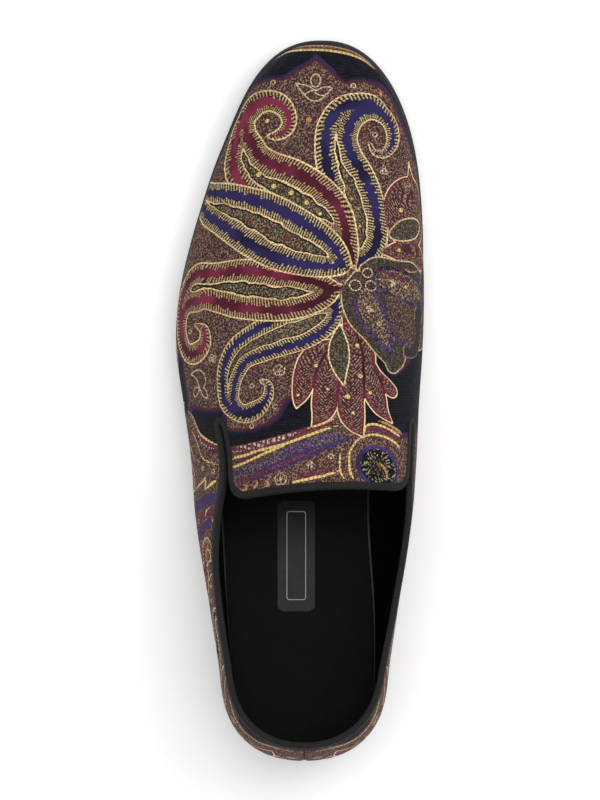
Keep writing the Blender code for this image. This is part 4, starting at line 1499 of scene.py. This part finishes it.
    # outer combs, the red leaves' rims, the teeth, and the outlines with their gaps
    colour = graph.mix(depth < comb_end, colour, ramp["comb"])
    rim = (1.0 - graph.smooth(edge + (drift - 0.5) * 2.0, 1.0, 3.2)) * is_leaf
    colour = graph.mix(rim * (1.0 - speck * 0.7), colour, ramp["comb"])
    dim = graph.patches(place, 0.8, 0.42, 0.6, 1.0) * 0.7
    toothed = graph.mix(dim, ramp["stroke"], graph.shaded(ramp["stroke"], STROKE_SHADE))
    colour = graph.mix(stitch, colour, toothed)
    is_broken = graph.is_kind(kind, BROKEN)
    gap = is_broken * (graph.math("FRACT", along / DASH_PITCH + ragged * 0.5) > DASH_SHARE)
    line_end = line_end + is_ring * (graph.wave(along, RING_PITCH) - 0.5) * 0.5
    gap = graph.math("MAXIMUM", gap, is_ring * (blot < 0.36))
    line = (edge < line_end) * (1.0 - gap)
    in_line = graph.math("MAXIMUM", line, graph.between(depth, inner_comb_end, inner_line_end))
    colour = graph.mix(edge < line_end, colour, graph.mix(gap, cord, GAP_YARN))

    # the weave: weft ribs across the shoe, warp threads along it, and lighter and darker patches;
    # the ribs and threads are also painted lighter on their crests and shaded between them
    across, run, _ = graph.parts(graph.reading("thread"))
    weft = graph.wave(laid + (graph.noise(place, 1.6) - 0.5) * 0.3, WEFT_PITCH)
    warp = graph.wave(across, WARP_PITCH)
    seam = 1.0 - graph.smooth(run, SEAM_START, SEAM_END)
    grain = graph.noise(graph.stretched(place, 1.0, 2.2, 1.0), 0.5, 1.0)
    patch = graph.noise(place, 22.0, 2.0)
    value = 0.61 + weft * 0.2 + warp * 0.12 + grain * 0.38
    value = value * (0.82 + patch * 0.36)
    colour = graph.shaded(colour, graph.node("CombineXYZ", inputs={0: value, 1: value, 2: value}))
    # painted glints: bright specks on the outline yarn stand in for the light it catches
    glint = graph.smooth(grain, 0.52, 0.72) * in_line
    colour = graph.mix(glint * 0.4, colour, PAINTED_GLINT)
    colour = graph.mix(seam * 0.85, colour, SEAM_SHADE)

    height = weft * 0.3 + warp * 0.15 + in_line * (0.6 + rope * 0.3)
    height = height + stitch * 0.45 + speck * 0.12 + is_panel * rib * 0.5
    return graph.finish(
        Base_Color=colour,
        Roughness=0.82 - in_line * 0.3,
        Metallic=in_line * 0.3,
        Normal=graph.bump(height, CLOTH_BUMP, 0.8),
        Specular_IOR_Level=0.16,
    )


def lighter(colour, gain, lift):
    return tuple(min(255, int(part * gain) + lift) for part in colour)


def leather_material(name, colour, roughness, grain=0.9, depth=0.00008, patch=0.15, gloss=0.14):
    """Leather: pebbled grain of cells, with creases of noise, and worn patches in its gloss."""
    graph = Graph(name)
    place = graph.place()
    swirl = graph.node("TexNoise", inputs={"Vector": place, "Scale": 0.5}, output=1)
    warped = graph.vector("ADD", place, swirl)
    near, cell = graph.cells(warped, grain)
    worn = graph.noise(place, 9.0, 3.0)
    fine = graph.noise(place, 0.35, 2.0)
    tone = graph.mix(graph.smooth(worn, 0.35, 0.75) * 0.5, colour, lighter(colour, 1.35, 3))
    height = graph.smooth(near, 0.15, 0.6) * -0.7 + fine * 0.3 + cell * 0.1
    return graph.finish(
        Base_Color=tone,
        Roughness=(roughness - patch / 2) + worn * patch,
        Normal=graph.bump(height, depth, 0.7),
        Specular_IOR_Level=gloss,
    )


# the first is near-black painted shade for the tape's grooves
TAPE_GROOVE_SHADE, FOIL, RUBBER = (7, 7, 7), (120, 118, 114), (26, 26, 27)


def tape_material(colour):
    """Grosgrain: black silk whose ribs are in the mesh, with fine threads between them, and painted
    shade in the grooves between the ribs.
    """
    graph = Graph("grosgrain_tape")
    place = graph.place()
    fine = graph.noise(place, 0.28, 2.0)
    patch = graph.noise(place, 6.0, 2.0)
    lit = graph.smooth(fine, 0.3, 0.75) * (0.35 + patch * 0.5)
    tone = graph.mix(lit, colour, lighter(colour, 1.6, 6))
    # painted shade: the grooves between the ribs are darkened towards near black
    crest, _, _ = graph.parts(graph.reading("rib"))
    tone = graph.mix((1.0 - crest) * 0.75, tone, TAPE_GROOVE_SHADE)
    return graph.finish(
        Base_Color=tone,
        Roughness=0.62 + fine * 0.2,
        Normal=graph.bump(fine, 0.00006, 0.8),
        Specular_IOR_Level=0.16,
    )


def thread_material(name, colour):
    graph = Graph(name)
    place = graph.place()
    fine = graph.noise(place, 0.2, 2.0)
    tone = graph.mix(fine, colour, lighter(colour, 1.5, 8))
    roughness = 0.55 + fine * 0.2
    return graph.finish(Base_Color=tone, Roughness=roughness, Normal=graph.bump(fine, 0.00005))


def rubber_material(colour):
    """Moulded rubber with a fine texture and scuffed patches."""
    graph = Graph("heel_rubber")
    place = graph.place()
    near, _ = graph.cells(place, 0.7)
    scuff = graph.noise(graph.stretched(place, 1.0, 0.35, 1.0), 3.0, 4.0, 0.65)
    tone = graph.mix(graph.smooth(scuff, 0.5, 0.8) * 0.4, colour, lighter(colour, 1.8, 8))
    normal = graph.bump(near * 0.6 + scuff * 0.4, 0.0001, 0.6)
    return graph.finish(Base_Color=tone, Roughness=0.6 + scuff * 0.25, Normal=normal)


# ---- building the pieces

CLOTH = 1.1  # thickness of the jacquard with its backing
LINING_GAP = 0.05
LINING = 0.8
SEAM_WIDTH = 0.8
SEAM_DEPTH = 0.5
CLOTH_CREASE = 50
LEATHER_CREASE = 40


def upper_shell():
    """The cloth as one closed shell: a fine outer face, a coarse back, and rims that join them."""
    blocks = sheet_blocks()
    numbers = block_numbers(blocks)
    quads = sheet_quads(blocks, numbers)
    points = np.concatenate([block.points.reshape(-1, 3) for block in blocks])
    charts = np.concatenate([vertex_charts(block) for block in blocks])
    foot, opening = rim_loops(blocks, numbers)
    coarse_quads = sheet_quads(blocks, [n[::COARSE, ::COARSE] for n in numbers])

    first, group = merge_points(points)
    outer = points[first]
    faces = merged_faces(group, quads)
    back_faces = merged_faces(group, coarse_quads)
    back_quads = as_quads(back_faces)
    used = np.unique(back_quads)
    back_number = np.full(len(outer), -1)
    back_number[used] = np.arange(len(used)) + len(outer)
    back = outer[used] - unit(face_normals(outer, back_quads)[used]) * CLOTH

    faces += [[int(back_number[v]) for v in face[::-1]] for face in back_faces]
    for loop, forward in ((group[foot], True), (group[opening], False)):
        count = len(loop)
        for i in range(0, count, COARSE):
            fine = [int(loop[(i + k) % count]) for k in range(COARSE + 1)]
            ends = int(back_number[fine[0]]), int(back_number[fine[-1]])
            ring_of = fine + [ends[1], ends[0]] if forward else fine[::-1] + [ends[0], ends[1]]
            faces.append(tidy_face(ring_of))
    return np.concatenate((outer, back)), faces, charts[first], len(outer)


def store_vectors(mesh, name, rows):
    made = mesh.attributes.new(name, "FLOAT_VECTOR", "POINT")
    made.data.foreach_set("vector", np.ascontiguousarray(rows, np.float32).reshape(-1))


def build_upper(material):
    points, faces, charts, outer_count = upper_shell()
    layers = pattern_layers(points[:outer_count], charts)
    normals = unit(face_normals(points, as_quads(faces))[:outer_count])
    _, _, run, climb, side = charts.T
    seam = np.exp(-((run / SEAM_WIDTH) ** 2)) * SEAM_DEPTH
    shaped = points.copy()
    shaped[:outer_count] -= normals * seam[:, None]
    made = link_mesh("upper_cloth", shaped, faces)
    threads = np.stack((climb * side, run, np.zeros(outer_count)), axis=1)
    named = {f"layer_{i}": layer for i, layer in enumerate(layers)} | {"thread": threads}
    for name, readings in named.items():
        rows = np.zeros((len(points), 3), np.float32)
        rows[:outer_count] = readings
        store_vectors(made.data, name, rows)
    return dressed(made, material, CLOTH_CREASE)


def fine_sheet(step):
    """The outer face with one row in step kept: points, faces, normals and the opening's loop."""
    blocks = sheet_blocks()
    numbers = block_numbers(blocks)
    points = np.concatenate([block.points.reshape(-1, 3) for block in blocks])
    first, group = merge_points(points)
    faces = merged_faces(group, sheet_quads(blocks, [n[::step, ::step] for n in numbers]))
    outer, quads = points[first], as_quads(faces)
    used = np.unique(quads)
    renumber = np.full(len(outer), -1)
    renumber[used] = np.arange(len(used))
    faces = [[int(renumber[v]) for v in face] for face in faces]
    normals = unit(face_normals(outer, quads)[used])
    loop = renumber[group[rim_loops(blocks, numbers)[1]]]
    return outer[used], faces, normals, loop[loop >= 0]


def deselect_all():
    for other in bpy.context.selected_objects:
        other.select_set(False)


def apply_modifier(made, kind, **settings):
    """Adds a modifier with its settings and applies it."""
    deselect_all()
    bpy.context.view_layer.objects.active = made
    made.select_set(True)
    added = made.modifiers.new(kind.title(), kind)
    for name, value in settings.items():
        setattr(added, name, value)
    bpy.ops.object.modifier_apply(modifier=added.name)
    made.select_set(False)


def build_lining(material):
    points, faces, normals, _ = fine_sheet(2)
    made = link_mesh("upper_lining", points - normals * (CLOTH + LINING_GAP), faces)
    apply_modifier(made, "SOLIDIFY", thickness=LINING * MM, offset=-1.0, use_rim=True)
    return dressed(made, material, CLOTH_CREASE)


RIB_DEPTH = 0.16
RIB_SAMPLES = 4
TAPE_REACH = 0.9  # the tape's direction at a point is taken from this far on either side


def smoothed_ring(rows, rounds):
    for _ in range(rounds):
        rows = (rows + np.roll(rows, 1, axis=0) + np.roll(rows, -1, axis=0)) / 3
    return unit(rows)


def opening_frames(points, normals, loop, spacing):
    """Places, normals and inward directions, evenly spaced round the opening."""
    ring_points, ring_normals = points[loop], normals[loop]
    closed = np.concatenate((ring_points, ring_points[:1]))
    closed_normals = np.concatenate((ring_normals, ring_normals[:1]))
    lengths = running_length(closed)
    count = int(round(lengths[-1] / spacing))
    at = np.arange(count) * lengths[-1] / count
    places = np.stack([np.interp(at, lengths, closed[:, k]) for k in range(3)], axis=1)
    facing = np.stack([np.interp(at, lengths, closed_normals[:, k]) for k in range(3)], axis=1)
    facing = smoothed_ring(facing, 3)
    reach = max(1, round(TAPE_REACH / spacing))
    along = np.roll(places, -reach, axis=0) - np.roll(places, reach, axis=0)
    return places, facing, unit(np.cross(facing, along))


def tape_section():
    """The folded tape's section: depth in from the cloth's edge, height, and share of the ribs."""
    over, over_fold, edge = 0.4, 0.8, BINDING_DEPTH
    under = CLOTH + LINING_GAP + LINING
    half = (over + under + 0.4) / 2
    middle = over - half
    section = [(edge, 0.05, 0), (edge + 0.04, 0.2, 0), (edge - 0.08, over - 0.04, 0.4)]
    section += [(depth, over, 1.0) for depth in (1.9, 1.3, 0.8, 0.3)]
    for angle in np.linspace(0.0, math.pi, 11):
        bulge, rise = math.sin(angle), math.cos(angle)
        squared = math.copysign(abs(rise) ** 0.6, rise)
        section.append((-over_fold * bulge**0.75, middle + half * squared, 1.0))
    section += [(depth, middle - half, 1.0) for depth in (0.7, 1.5)]
    section += [(edge - 0.12, middle - half + 0.08, 0.4), (edge, -under - 0.05, 0)]
    section += [(0.2, -under - 0.03, 0), (-0.2, -under / 2, 0), (0.2, 0.03, 0)]
    return section


def build_binding(material, rib):
    """The tape, a closed band round the opening; rib is the distance between its ribs."""
    points, faces, normals, loop = fine_sheet(1)
    tree = BVHTree.FromPolygons([Vector(p) for p in points], faces)
    places, facing, inward = opening_frames(points, normals, loop, rib / RIB_SAMPLES)
    ribs = 0.5 + 0.5 * np.cos(2 * math.pi * np.arange(len(places)) / RIB_SAMPLES)
    section = tape_section()
    rows = np.zeros((len(places), len(section), 3))
    for j, (depth, height, share) in enumerate(section):
        bases, ups = places, facing
        if depth > 0.15:
            hits = [tree.find_nearest(Vector(p + d * depth)) for p, d in zip(places, inward)]
            bases = np.array([tuple(hit[0]) for hit in hits])
            ups = smoothed_ring(np.array([tuple(hit[1]) for hit in hits]), 4)
        hollow = share * RIB_DEPTH * (1 - ribs)
        rows[:, j] = bases + ups * (height - np.sign(height) * hollow)[:, None]
        if depth < 0:
            rows[:, j] += inward * (depth + hollow)[:, None]
    crests = np.zeros_like(rows)
    crests[..., 0] = ribs[:, None]
    numbers = np.arange(rows.shape[0] * rows.shape[1]).reshape(rows.shape[:2])
    following, across = np.roll(numbers, -1, axis=0), np.roll(numbers, -1, axis=1)
    quads = np.stack((numbers, across, np.roll(following, -1, axis=1), following), axis=-1)
    made = link_mesh("topline_tape", rows.reshape(-1, 3), quads.reshape(-1, 4))
    store_vectors(made.data, "rib", crests)
    return dressed(set_outward(made), material)


def set_outward(made):
    """Turns a closed mesh's faces outward."""
    builder = bmesh.new()
    builder.from_mesh(made.data)
    bmesh.ops.recalc_face_normals(builder, faces=builder.faces)
    builder.to_mesh(made.data)
    builder.free()
    return made


def dressed(made, material, crease=None):
    """Gives a piece its material, and sharp edges where it bends by more than crease degrees."""
    made.data.materials.append(material)
    if crease:
        made.data.set_sharp_from_angle(angle=math.radians(crease))
    return made


SOLE_SPACING = 2.2
SOLE_INSIDE = 3.0  # how far the sole's top reaches under the upper
TOP_ROUND, BOTTOM_ROUND, ROUND_STEPS = 0.5, 0.7, 3  # of the sole's edge
EDGE_MIDDLE = 2.0
CHANNEL_IN, CHANNEL_DEPTH = 4.6, 0.3
CHANNEL = ((0.0, 0.0), (0.25, CHANNEL_DEPTH), (0.6, CHANNEL_DEPTH), (0.85, 0.0))
CUP_DEPTH = 0.7
CUP_WIDTH = 14.0
SOCK_EDGE = 0.5
SOCK_INSETS = (0.15, 0.5, 2.0, 5.0, 8.0, 11.0, CUP_WIDTH)


def sole_stations(spacing=SOLE_SPACING):
    return np.concatenate((even_stations(0.0, UPPER_TOE, spacing), (UPPER_TOE,)))


def lifted(loop, height):
    """A plan loop at a height, which may be a function of y."""
    ys = np.minimum(loop[:, 1], LENGTH)
    z = height(ys) if callable(height) else np.full(len(loop), float(height))
    return np.column_stack((loop, z))


def lofted(name, rings, material):
    """A closed solid through rings that start at the heel, its ends closed by strips across."""
    count = len(rings[0])
    points = np.concatenate(rings)
    numbers = np.arange(len(points)).reshape(len(rings), count)
    following = np.roll(numbers, -1, axis=1)
    walls = np.stack((numbers[:-1], following[:-1], following[1:], numbers[1:]), axis=-1)
    faces = walls.reshape(-1, 4).tolist()
    for end in (numbers[0], numbers[-1]):
        for i in range(count // 2):
            corners = (end[i], end[i + 1], end[-i - 1], end[-i])
            faces.append(list(dict.fromkeys(int(c) for c in corners)))
    return dressed(set_outward(link_mesh(name, points, faces)), material, LEATHER_CREASE)


def rounding(radius, steps):
    """Insets and drops round a quarter of an edge."""
    angles = [math.pi / 2 * i / steps for i in range(steps + 1)]
    return [(radius * (1 - math.sin(a)), radius * (1 - math.cos(a))) for a in angles]


def build_outsole(material):
    loop = foot_loop(sole_stations())

    def top(y):
        return sole_underside(y) + SOLE_THICKNESS

    def ring_at(inset, height):
        return lifted(offset_loop(loop, SOLE_EDGE - inset), height)

    rings = [ring_at(SOLE_INSIDE, top)]
    for inset, drop in rounding(TOP_ROUND, ROUND_STEPS):
        rings.append(ring_at(inset, lambda y, d=drop: top(y) - d))
    rings.append(ring_at(0.0, lambda y: sole_underside(y) + EDGE_MIDDLE))
    for inset, drop in reversed(rounding(BOTTOM_ROUND, ROUND_STEPS)):
        rings.append(ring_at(inset, lambda y, d=drop: sole_underside(y) + d))
    for further, depth in CHANNEL:
        rings.append(ring_at(CHANNEL_IN + further, lambda y, d=depth: sole_underside(y) + d))
    return lofted("sole_blackened", rings, material)


def sock_height(y, inset):
    return foot_of_upper(y) + INSOLE_THICKNESS - CUP_DEPTH * smoothstep(inset / CUP_WIDTH)


def build_sock(material):
    loop = foot_loop(sole_stations())
    inner = -WALL - GAP
    rings = [lifted(offset_loop(loop, inner), foot_of_upper)]
    rings += [lifted(offset_loop(loop, inner), lambda y: sock_height(y, 0.0) - SOCK_EDGE)]
    for inset in SOCK_INSETS:
        rings.append(lifted(offset_loop(loop, inner - inset), lambda y, i=inset: sock_height(y, i)))
    return lofted("sock_lining", rings, material)


LABEL_MIDDLE_X = -3.3
LABEL_WIDTH = 15.6
LABEL_FRONT, LABEL_BACK = 108.0, 62.0
LABEL_THICKNESS, LABEL_LIFT = 0.3, 0.04
LABEL_CORNER = 2.0
FRAME_WIDTH, FRAME_FRONT, FRAME_BACK = 7.4, 103.3, 67.0
FRAME_LINE, FRAME_CORNER = 0.4, 0.8
FRAME_LIFT, FRAME_HEIGHT = 0.045, 0.07


def build_label(material):
    """The sock's sewn patch: a grid laid on the sock, with round corners and a thickness."""
    deselect_all()
    bpy.ops.mesh.primitive_grid_add(x_subdivisions=12, y_subdivisions=30, size=2)
    made = bpy.context.object
    made.name = "sock_patch"
    half, length = LABEL_WIDTH / 2, (LABEL_FRONT - LABEL_BACK) / 2
    middle = (LABEL_FRONT + LABEL_BACK) / 2
    for vertex in made.data.vertices:
        y = vertex.co.y * length
        corner = max(abs(y) - length + LABEL_CORNER, 0.0)
        x = vertex.co.x * (half - LABEL_CORNER + math.sqrt(max(LABEL_CORNER**2 - corner**2, 0.0)))
        z = float(sock_height(y + middle, CUP_WIDTH)) + LABEL_LIFT
        vertex.co = Vector(to_frame((LABEL_MIDDLE_X + x, y + middle, z)))
    apply_modifier(made, "SOLIDIFY", thickness=LABEL_THICKNESS * MM, offset=1.0, use_rim=True)
    made.data.shade_smooth()
    return dressed(made, material, LEATHER_CREASE)


def frame_path():
    """The border's outer edge round its own middle: rounded corners with evenly divided sides."""
    half, length = FRAME_WIDTH / 2 - FRAME_CORNER, (FRAME_FRONT - FRAME_BACK) / 2 - FRAME_CORNER
    arcs = []
    for quarter, (across, along) in enumerate(((1, 1), (-1, 1), (-1, -1), (1, -1))):
        angles = np.pi * (quarter / 2 + np.arange(4) / 6)
        bend = np.stack((np.cos(angles), np.sin(angles)), axis=1) * FRAME_CORNER
        arcs.append(bend + (across * half, along * length))
    path = []
    for arc, following, count in zip(arcs, arcs[1:] + arcs[:1], (4, 13, 4, 13)):
        shares = np.arange(1, count)[:, None] / count
        path += [arc, arc[-1] + (following[0] - arc[-1]) * shares]
    return np.concatenate(path)


def build_label_frame(material):
    """A plain stamped border on the patch, as a flat closed band."""
    loop = frame_path() + (LABEL_MIDDLE_X, (FRAME_FRONT + FRAME_BACK) / 2)

    def ring_at(inset, height):
        base = LABEL_THICKNESS + FRAME_LIFT + height
        return lifted(offset_loop(loop, -inset), lambda y: sock_height(y, CUP_WIDTH) + base)

    bevel = 0.05
    top = [ring_at(inset, FRAME_HEIGHT) for inset in (bevel, FRAME_LINE - bevel)]
    rings = [ring_at(0.0, 0.0), *top, ring_at(FRAME_LINE, 0.0)]
    numbers = np.arange(4 * len(loop)).reshape(4, len(loop))
    following = np.roll(numbers, -1, axis=1)
    below, below_next = np.roll(numbers, -1, axis=0), np.roll(following, -1, axis=0)
    faces = np.stack((numbers, following, below_next, below), axis=-1).reshape(-1, 4)
    return dressed(set_outward(link_mesh("patch_border", np.concatenate(rings), faces)), material)


def heel_loop(inset):
    """The heel's outline in plan, with a hollow breast."""
    stations = sole_stations()
    ys = stations[stations < BREAST - BREAST_HOLLOW]
    around = offset_loop(foot_loop(stations), SOLE_EDGE - inset)
    lateral = around[: len(ys)]
    medial = around[-len(ys) + 1 :]
    across = np.linspace(0.0, 1.0, 25)
    x = lateral[-1, 0] + (medial[0, 0] - lateral[-1, 0]) * across
    y = BREAST - inset - BREAST_HOLLOW * 4 * across * (1 - across)
    return np.concatenate((lateral, np.stack((x, y), axis=1), medial))


def build_heel_block(name, loop, top, bottom, edge, material):
    """One layer of the heel: an outline drawn from a circle, pulled up and its edges eased."""
    deselect_all()
    bpy.ops.mesh.primitive_circle_add(vertices=len(loop), fill_type="NGON")
    made = bpy.context.object
    made.name = name
    for vertex, place in zip(made.data.vertices, to_frame(lifted(loop, bottom))):
        vertex.co = Vector(place)
    bpy.ops.object.mode_set(mode="EDIT")
    bpy.ops.mesh.select_all(action="SELECT")
    pull = {"value": (0.0, 0.0, (top - bottom) * MM)}
    bpy.ops.mesh.extrude_region_move(TRANSFORM_OT_translate=pull)
    bpy.ops.mesh.select_all(action="SELECT")
    bpy.ops.mesh.normals_make_consistent(inside=False)
    bpy.ops.object.mode_set(mode="OBJECT")
    limit = {"limit_method": "ANGLE", "angle_limit": math.radians(50)}
    apply_modifier(made, "BEVEL", width=edge * MM, segments=3, **limit)
    made.data.shade_smooth()
    return dressed(made, material, LEATHER_CREASE)


HEEL_OVERLAP = 0.1  # each layer reaches this far into the gap to the next
LAYER_ROUND, TREAD_ROUND = 0.22, 0.45


def build_heel(leather, rubber):
    lift = (HEEL_RISE - TOP_PIECE - GAP * (HEEL_LIFTS + 1)) / HEEL_LIFTS
    ceiling = HEEL_RISE - GAP
    made = []
    for i in range(HEEL_LIFTS):
        loop = heel_loop(HEEL_TAPER * (i + 1))
        top, bottom = ceiling + HEEL_OVERLAP, ceiling - lift - HEEL_OVERLAP
        name = f"heel_layer_{i + 1}"
        made.append(build_heel_block(name, loop, top, bottom, LAYER_ROUND, leather))
        ceiling -= lift + GAP
    loop = heel_loop(HEEL_TAPER * (HEEL_LIFTS + 1))
    top = TOP_PIECE + HEEL_OVERLAP
    made.append(build_heel_block("heel_tread", loop, top, 0.0, TREAD_ROUND, rubber))
    return made


# ---- the add-on


def colour_property(name, description, colour):
    return bpy.props.FloatVectorProperty(
        name=name, description=description, default=linear(colour),
        subtype="COLOR", size=3, min=0.0, max=1.0,
    )


class LoaferColours(bpy.types.PropertyGroup):
    """Yarn and leather colours."""

    line: colour_property("Outline yarn", "Pale gold yarn that outlines figures", (244, 220, 164))
    gold: colour_property("Gold yarn", "Deeper gold yarn of the plain lines", (234, 206, 124))
    navy: colour_property("Navy yarn", "Bands of the navy figures", (45, 38, 85))
    burgundy: colour_property("Burgundy yarn", "Bands of burgundy figures", (126, 43, 69))
    purple: colour_property("Purple yarn", "Edges of the black panels and petals", (54, 39, 86))
    olive: colour_property("Olive yarn", "Hearts of the figures", (52, 44, 38))
    ground: colour_property("Ground yarn", "Maroon ground between the figures", (60, 36, 38))
    fleck: colour_property("Fleck yarn", "Beige flecks in the ground", (156, 126, 106))
    black: colour_property("Black yarn", "Ribbed black panels", (9, 9, 15))
    tape: colour_property("Tape", "Grosgrain tape round the topline", (32, 31, 30))
    # black leather, set darker than the leather itself is, which also paints the shade inside the
    # shoe
    leather: colour_property("Inside leather", "Lining and sock", (4, 4, 4))
    sole: colour_property("Sole leather", "Blackened sole and heel", (34, 33, 34))


class LoaferSizes(bpy.types.PropertyGroup):
    """Sizes of the finish and the stage."""

    rib: bpy.props.FloatProperty(
        name="Tape rib", description="Distance between the tape's ribs in millimetres",
        default=0.96, min=0.5, max=2.0,
    )
    lens: bpy.props.FloatProperty(
        name="Lens", description="Focal length of the camera",
        default=800.0, min=50.0, max=1200.0, subtype="DISTANCE_CAMERA",
    )
    height: bpy.props.FloatProperty(
        name="Camera height", description="Height of the camera above the floor",
        default=7.43, min=0.5, subtype="DISTANCE", unit="LENGTH",
    )
    key: bpy.props.FloatProperty(
        name="Key light", description="Power of the large light overhead",
        default=57.0, min=0.0, subtype="POWER", unit="POWER",
    )
    fill: bpy.props.FloatProperty(
        name="Surround light", description="Strength of the even light all round",
        default=0.5, min=0.0, max=4.0,
    )


def place_piece(piece, slot, *nodes):
    """Fixes a finished piece to the shoe and hides the solids it stands for; slot is not used."""
    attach(piece, BODY)
    if nodes:
        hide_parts(*nodes)


class LOAFER_OT_upper(bpy.types.Operator):
    """Weaves the jacquard upper with its figures"""

    bl_idname = "loafer.upper"
    bl_label = "Jacquard upper"

    def execute(self, context):
        material = jacquard_material(context.scene.loafer_colours)
        place_piece(build_upper(material), "jacquard_cloth", "upper")
        return {"FINISHED"}


class LOAFER_OT_inside(bpy.types.Operator):
    """Lines the upper with leather and lays the sock with its patch"""

    bl_idname = "loafer.inside"
    bl_label = "Lining and sock"

    def execute(self, context):
        black = as_steps(context.scene.loafer_colours.leather)
        patch_black = lighter(black, 1.0, 5)
        leather = leather_material("lining_leather", black, 0.62, gloss=0.08)
        patch = leather_material("patch_leather", patch_black, 0.38, grain=0.6, gloss=0.2)
        foil = thread_material("border_foil", FOIL)
        place_piece(build_lining(leather), "sock_leather")
        place_piece(build_sock(leather), "sock_leather", "insole")
        place_piece(build_label(patch), "sock_leather")
        place_piece(build_label_frame(foil), "sock_leather")
        return {"FINISHED"}


class LOAFER_OT_tape(bpy.types.Operator):
    """Folds the ribbed tape round the topline, the slits and the tab"""

    bl_idname = "loafer.tape"
    bl_label = "Topline tape"

    def execute(self, context):
        material = tape_material(as_steps(context.scene.loafer_colours.tape))
        tape = build_binding(material, context.scene.loafer_sizes.rib)
        place_piece(tape, "grosgrain_tape", "topline_binding")
        return {"FINISHED"}


class LOAFER_OT_sole(bpy.types.Operator):
    """Makes the leather sole and the layered heel"""

    bl_idname = "loafer.sole"
    bl_label = "Sole and heel"

    def execute(self, context):
        colour = as_steps(context.scene.loafer_colours.sole)
        edge = leather_material("sole_leather", colour, 0.42, grain=0.45, depth=0.00003, gloss=0.35)
        rubber = rubber_material(RUBBER)
        place_piece(build_outsole(edge), "sole_leather", "outsole")
        blocks = build_heel(edge, rubber)
        for i, block in enumerate(blocks[:-1]):
            place_piece(block, "heel_leather", f"heel_lift_{i + 1}")
        place_piece(blocks[-1], "heel_rubber", "heel_top_piece")
        return {"FINISHED"}


class LOAFER_OT_stage(bpy.types.Operator):
    """Lays the pale floor and sets the lights and the camera overhead"""

    bl_idname = "loafer.stage"
    bl_label = "Floor, lights and camera"

    def execute(self, context):
        sizes = context.scene.loafer_sizes
        scene = context.scene
        build_floor()
        build_lights(scene, sizes)
        build_camera(scene, sizes)
        return {"FINISHED"}


def as_steps(colour):
    """A property's light values as steps of 0 to 255."""
    parts = (p * 12.92 if p <= 0.0031308 else 1.055 * p ** (1 / 2.4) - 0.055 for p in colour)
    return tuple(round(part * 255) for part in parts)


WHITE = (1.0, 1.0, 1.0, 1.0)
FLOOR_SIZE, FLOOR_DROP, FLOOR_GLOW = 8.0, 0.0002, 0.15
AreaLight = namedtuple("AreaLight", "name place size share")
LIGHTS = (  # places and sizes in metres, and shares of the key light's power
    AreaLight("key", (0.2, 0.45, 2.9), 3.0, 1.0),
    AreaLight("side", (1.4, 0.7, 1.9), 1.2, 0.2),
)


def build_floor():
    deselect_all()
    bpy.ops.mesh.primitive_plane_add(size=FLOOR_SIZE, location=(0.0, 0.0, -FLOOR_DROP))
    floor = bpy.context.object
    floor.name = "floor"
    graph = Graph("floor_paper")
    fine = graph.noise(graph.place(), 4.0, 3.0)
    tone = graph.mix(fine, (247, 247, 247), (252, 252, 252))
    paper = graph.finish(
        Base_Color=tone,
        Roughness=0.9,
        Specular_IOR_Level=0.1,
        Emission_Color=WHITE,
        Emission_Strength=FLOOR_GLOW,
    )
    floor.data.materials.append(paper)


def build_lights(scene, sizes):
    world = bpy.data.worlds.new("surround")
    world.use_nodes = True
    background = world.node_tree.nodes["Background"].inputs
    background["Color"].default_value = WHITE
    background["Strength"].default_value = sizes.fill
    scene.world = world
    for lamp in LIGHTS:
        data = bpy.data.lights.new(lamp.name, "AREA")
        data.shape = "SQUARE"
        data.size = lamp.size
        data.energy = sizes.key * lamp.share
        light = bpy.data.objects.new(lamp.name, data)
        light.location = lamp.place
        light.rotation_euler = Vector(lamp.place).to_track_quat("Z", "Y").to_euler()
        scene.collection.objects.link(light)


def build_camera(scene, sizes):
    data = bpy.data.cameras.new("overhead")
    data.lens = sizes.lens
    data.sensor_width = 36.0
    data.clip_end = 20.0
    camera = bpy.data.objects.new("overhead", data)
    camera.location = (0.0, 0.0, sizes.height)
    scene.collection.objects.link(camera)
    scene.camera = camera
    scene.view_settings.view_transform = "Standard"


class LOAFER_PT_panel(bpy.types.Panel):
    """Lists the pieces, the colours and the sizes"""

    bl_label = "Loafer"
    bl_space_type = "VIEW_3D"
    bl_region_type = "UI"
    bl_category = "Loafer"

    def draw(self, context):
        for group in (context.scene.loafer_colours, context.scene.loafer_sizes):
            for name in group.bl_rna.properties.keys():
                if name not in ("rna_type", "name"):
                    self.layout.prop(group, name)
        for operator in OPERATORS:
            self.layout.operator(operator.bl_idname)


OPERATORS = (LOAFER_OT_upper, LOAFER_OT_inside, LOAFER_OT_tape, LOAFER_OT_sole, LOAFER_OT_stage)
CLASSES = (LoaferColours, LoaferSizes, *OPERATORS, LOAFER_PT_panel)


def register():
    for each in CLASSES:
        bpy.utils.register_class(each)
    bpy.types.Scene.loafer_colours = bpy.props.PointerProperty(type=LoaferColours)
    bpy.types.Scene.loafer_sizes = bpy.props.PointerProperty(type=LoaferSizes)


def unregister():
    del bpy.types.Scene.loafer_sizes
    del bpy.types.Scene.loafer_colours
    for each in reversed(CLASSES):
        bpy.utils.unregister_class(each)


def main():
    register()
    bpy.ops.loafer.upper()
    bpy.ops.loafer.inside()
    bpy.ops.loafer.tape()
    bpy.ops.loafer.sole()
    bpy.ops.loafer.stage()


if __name__ == "__main__":
    main()
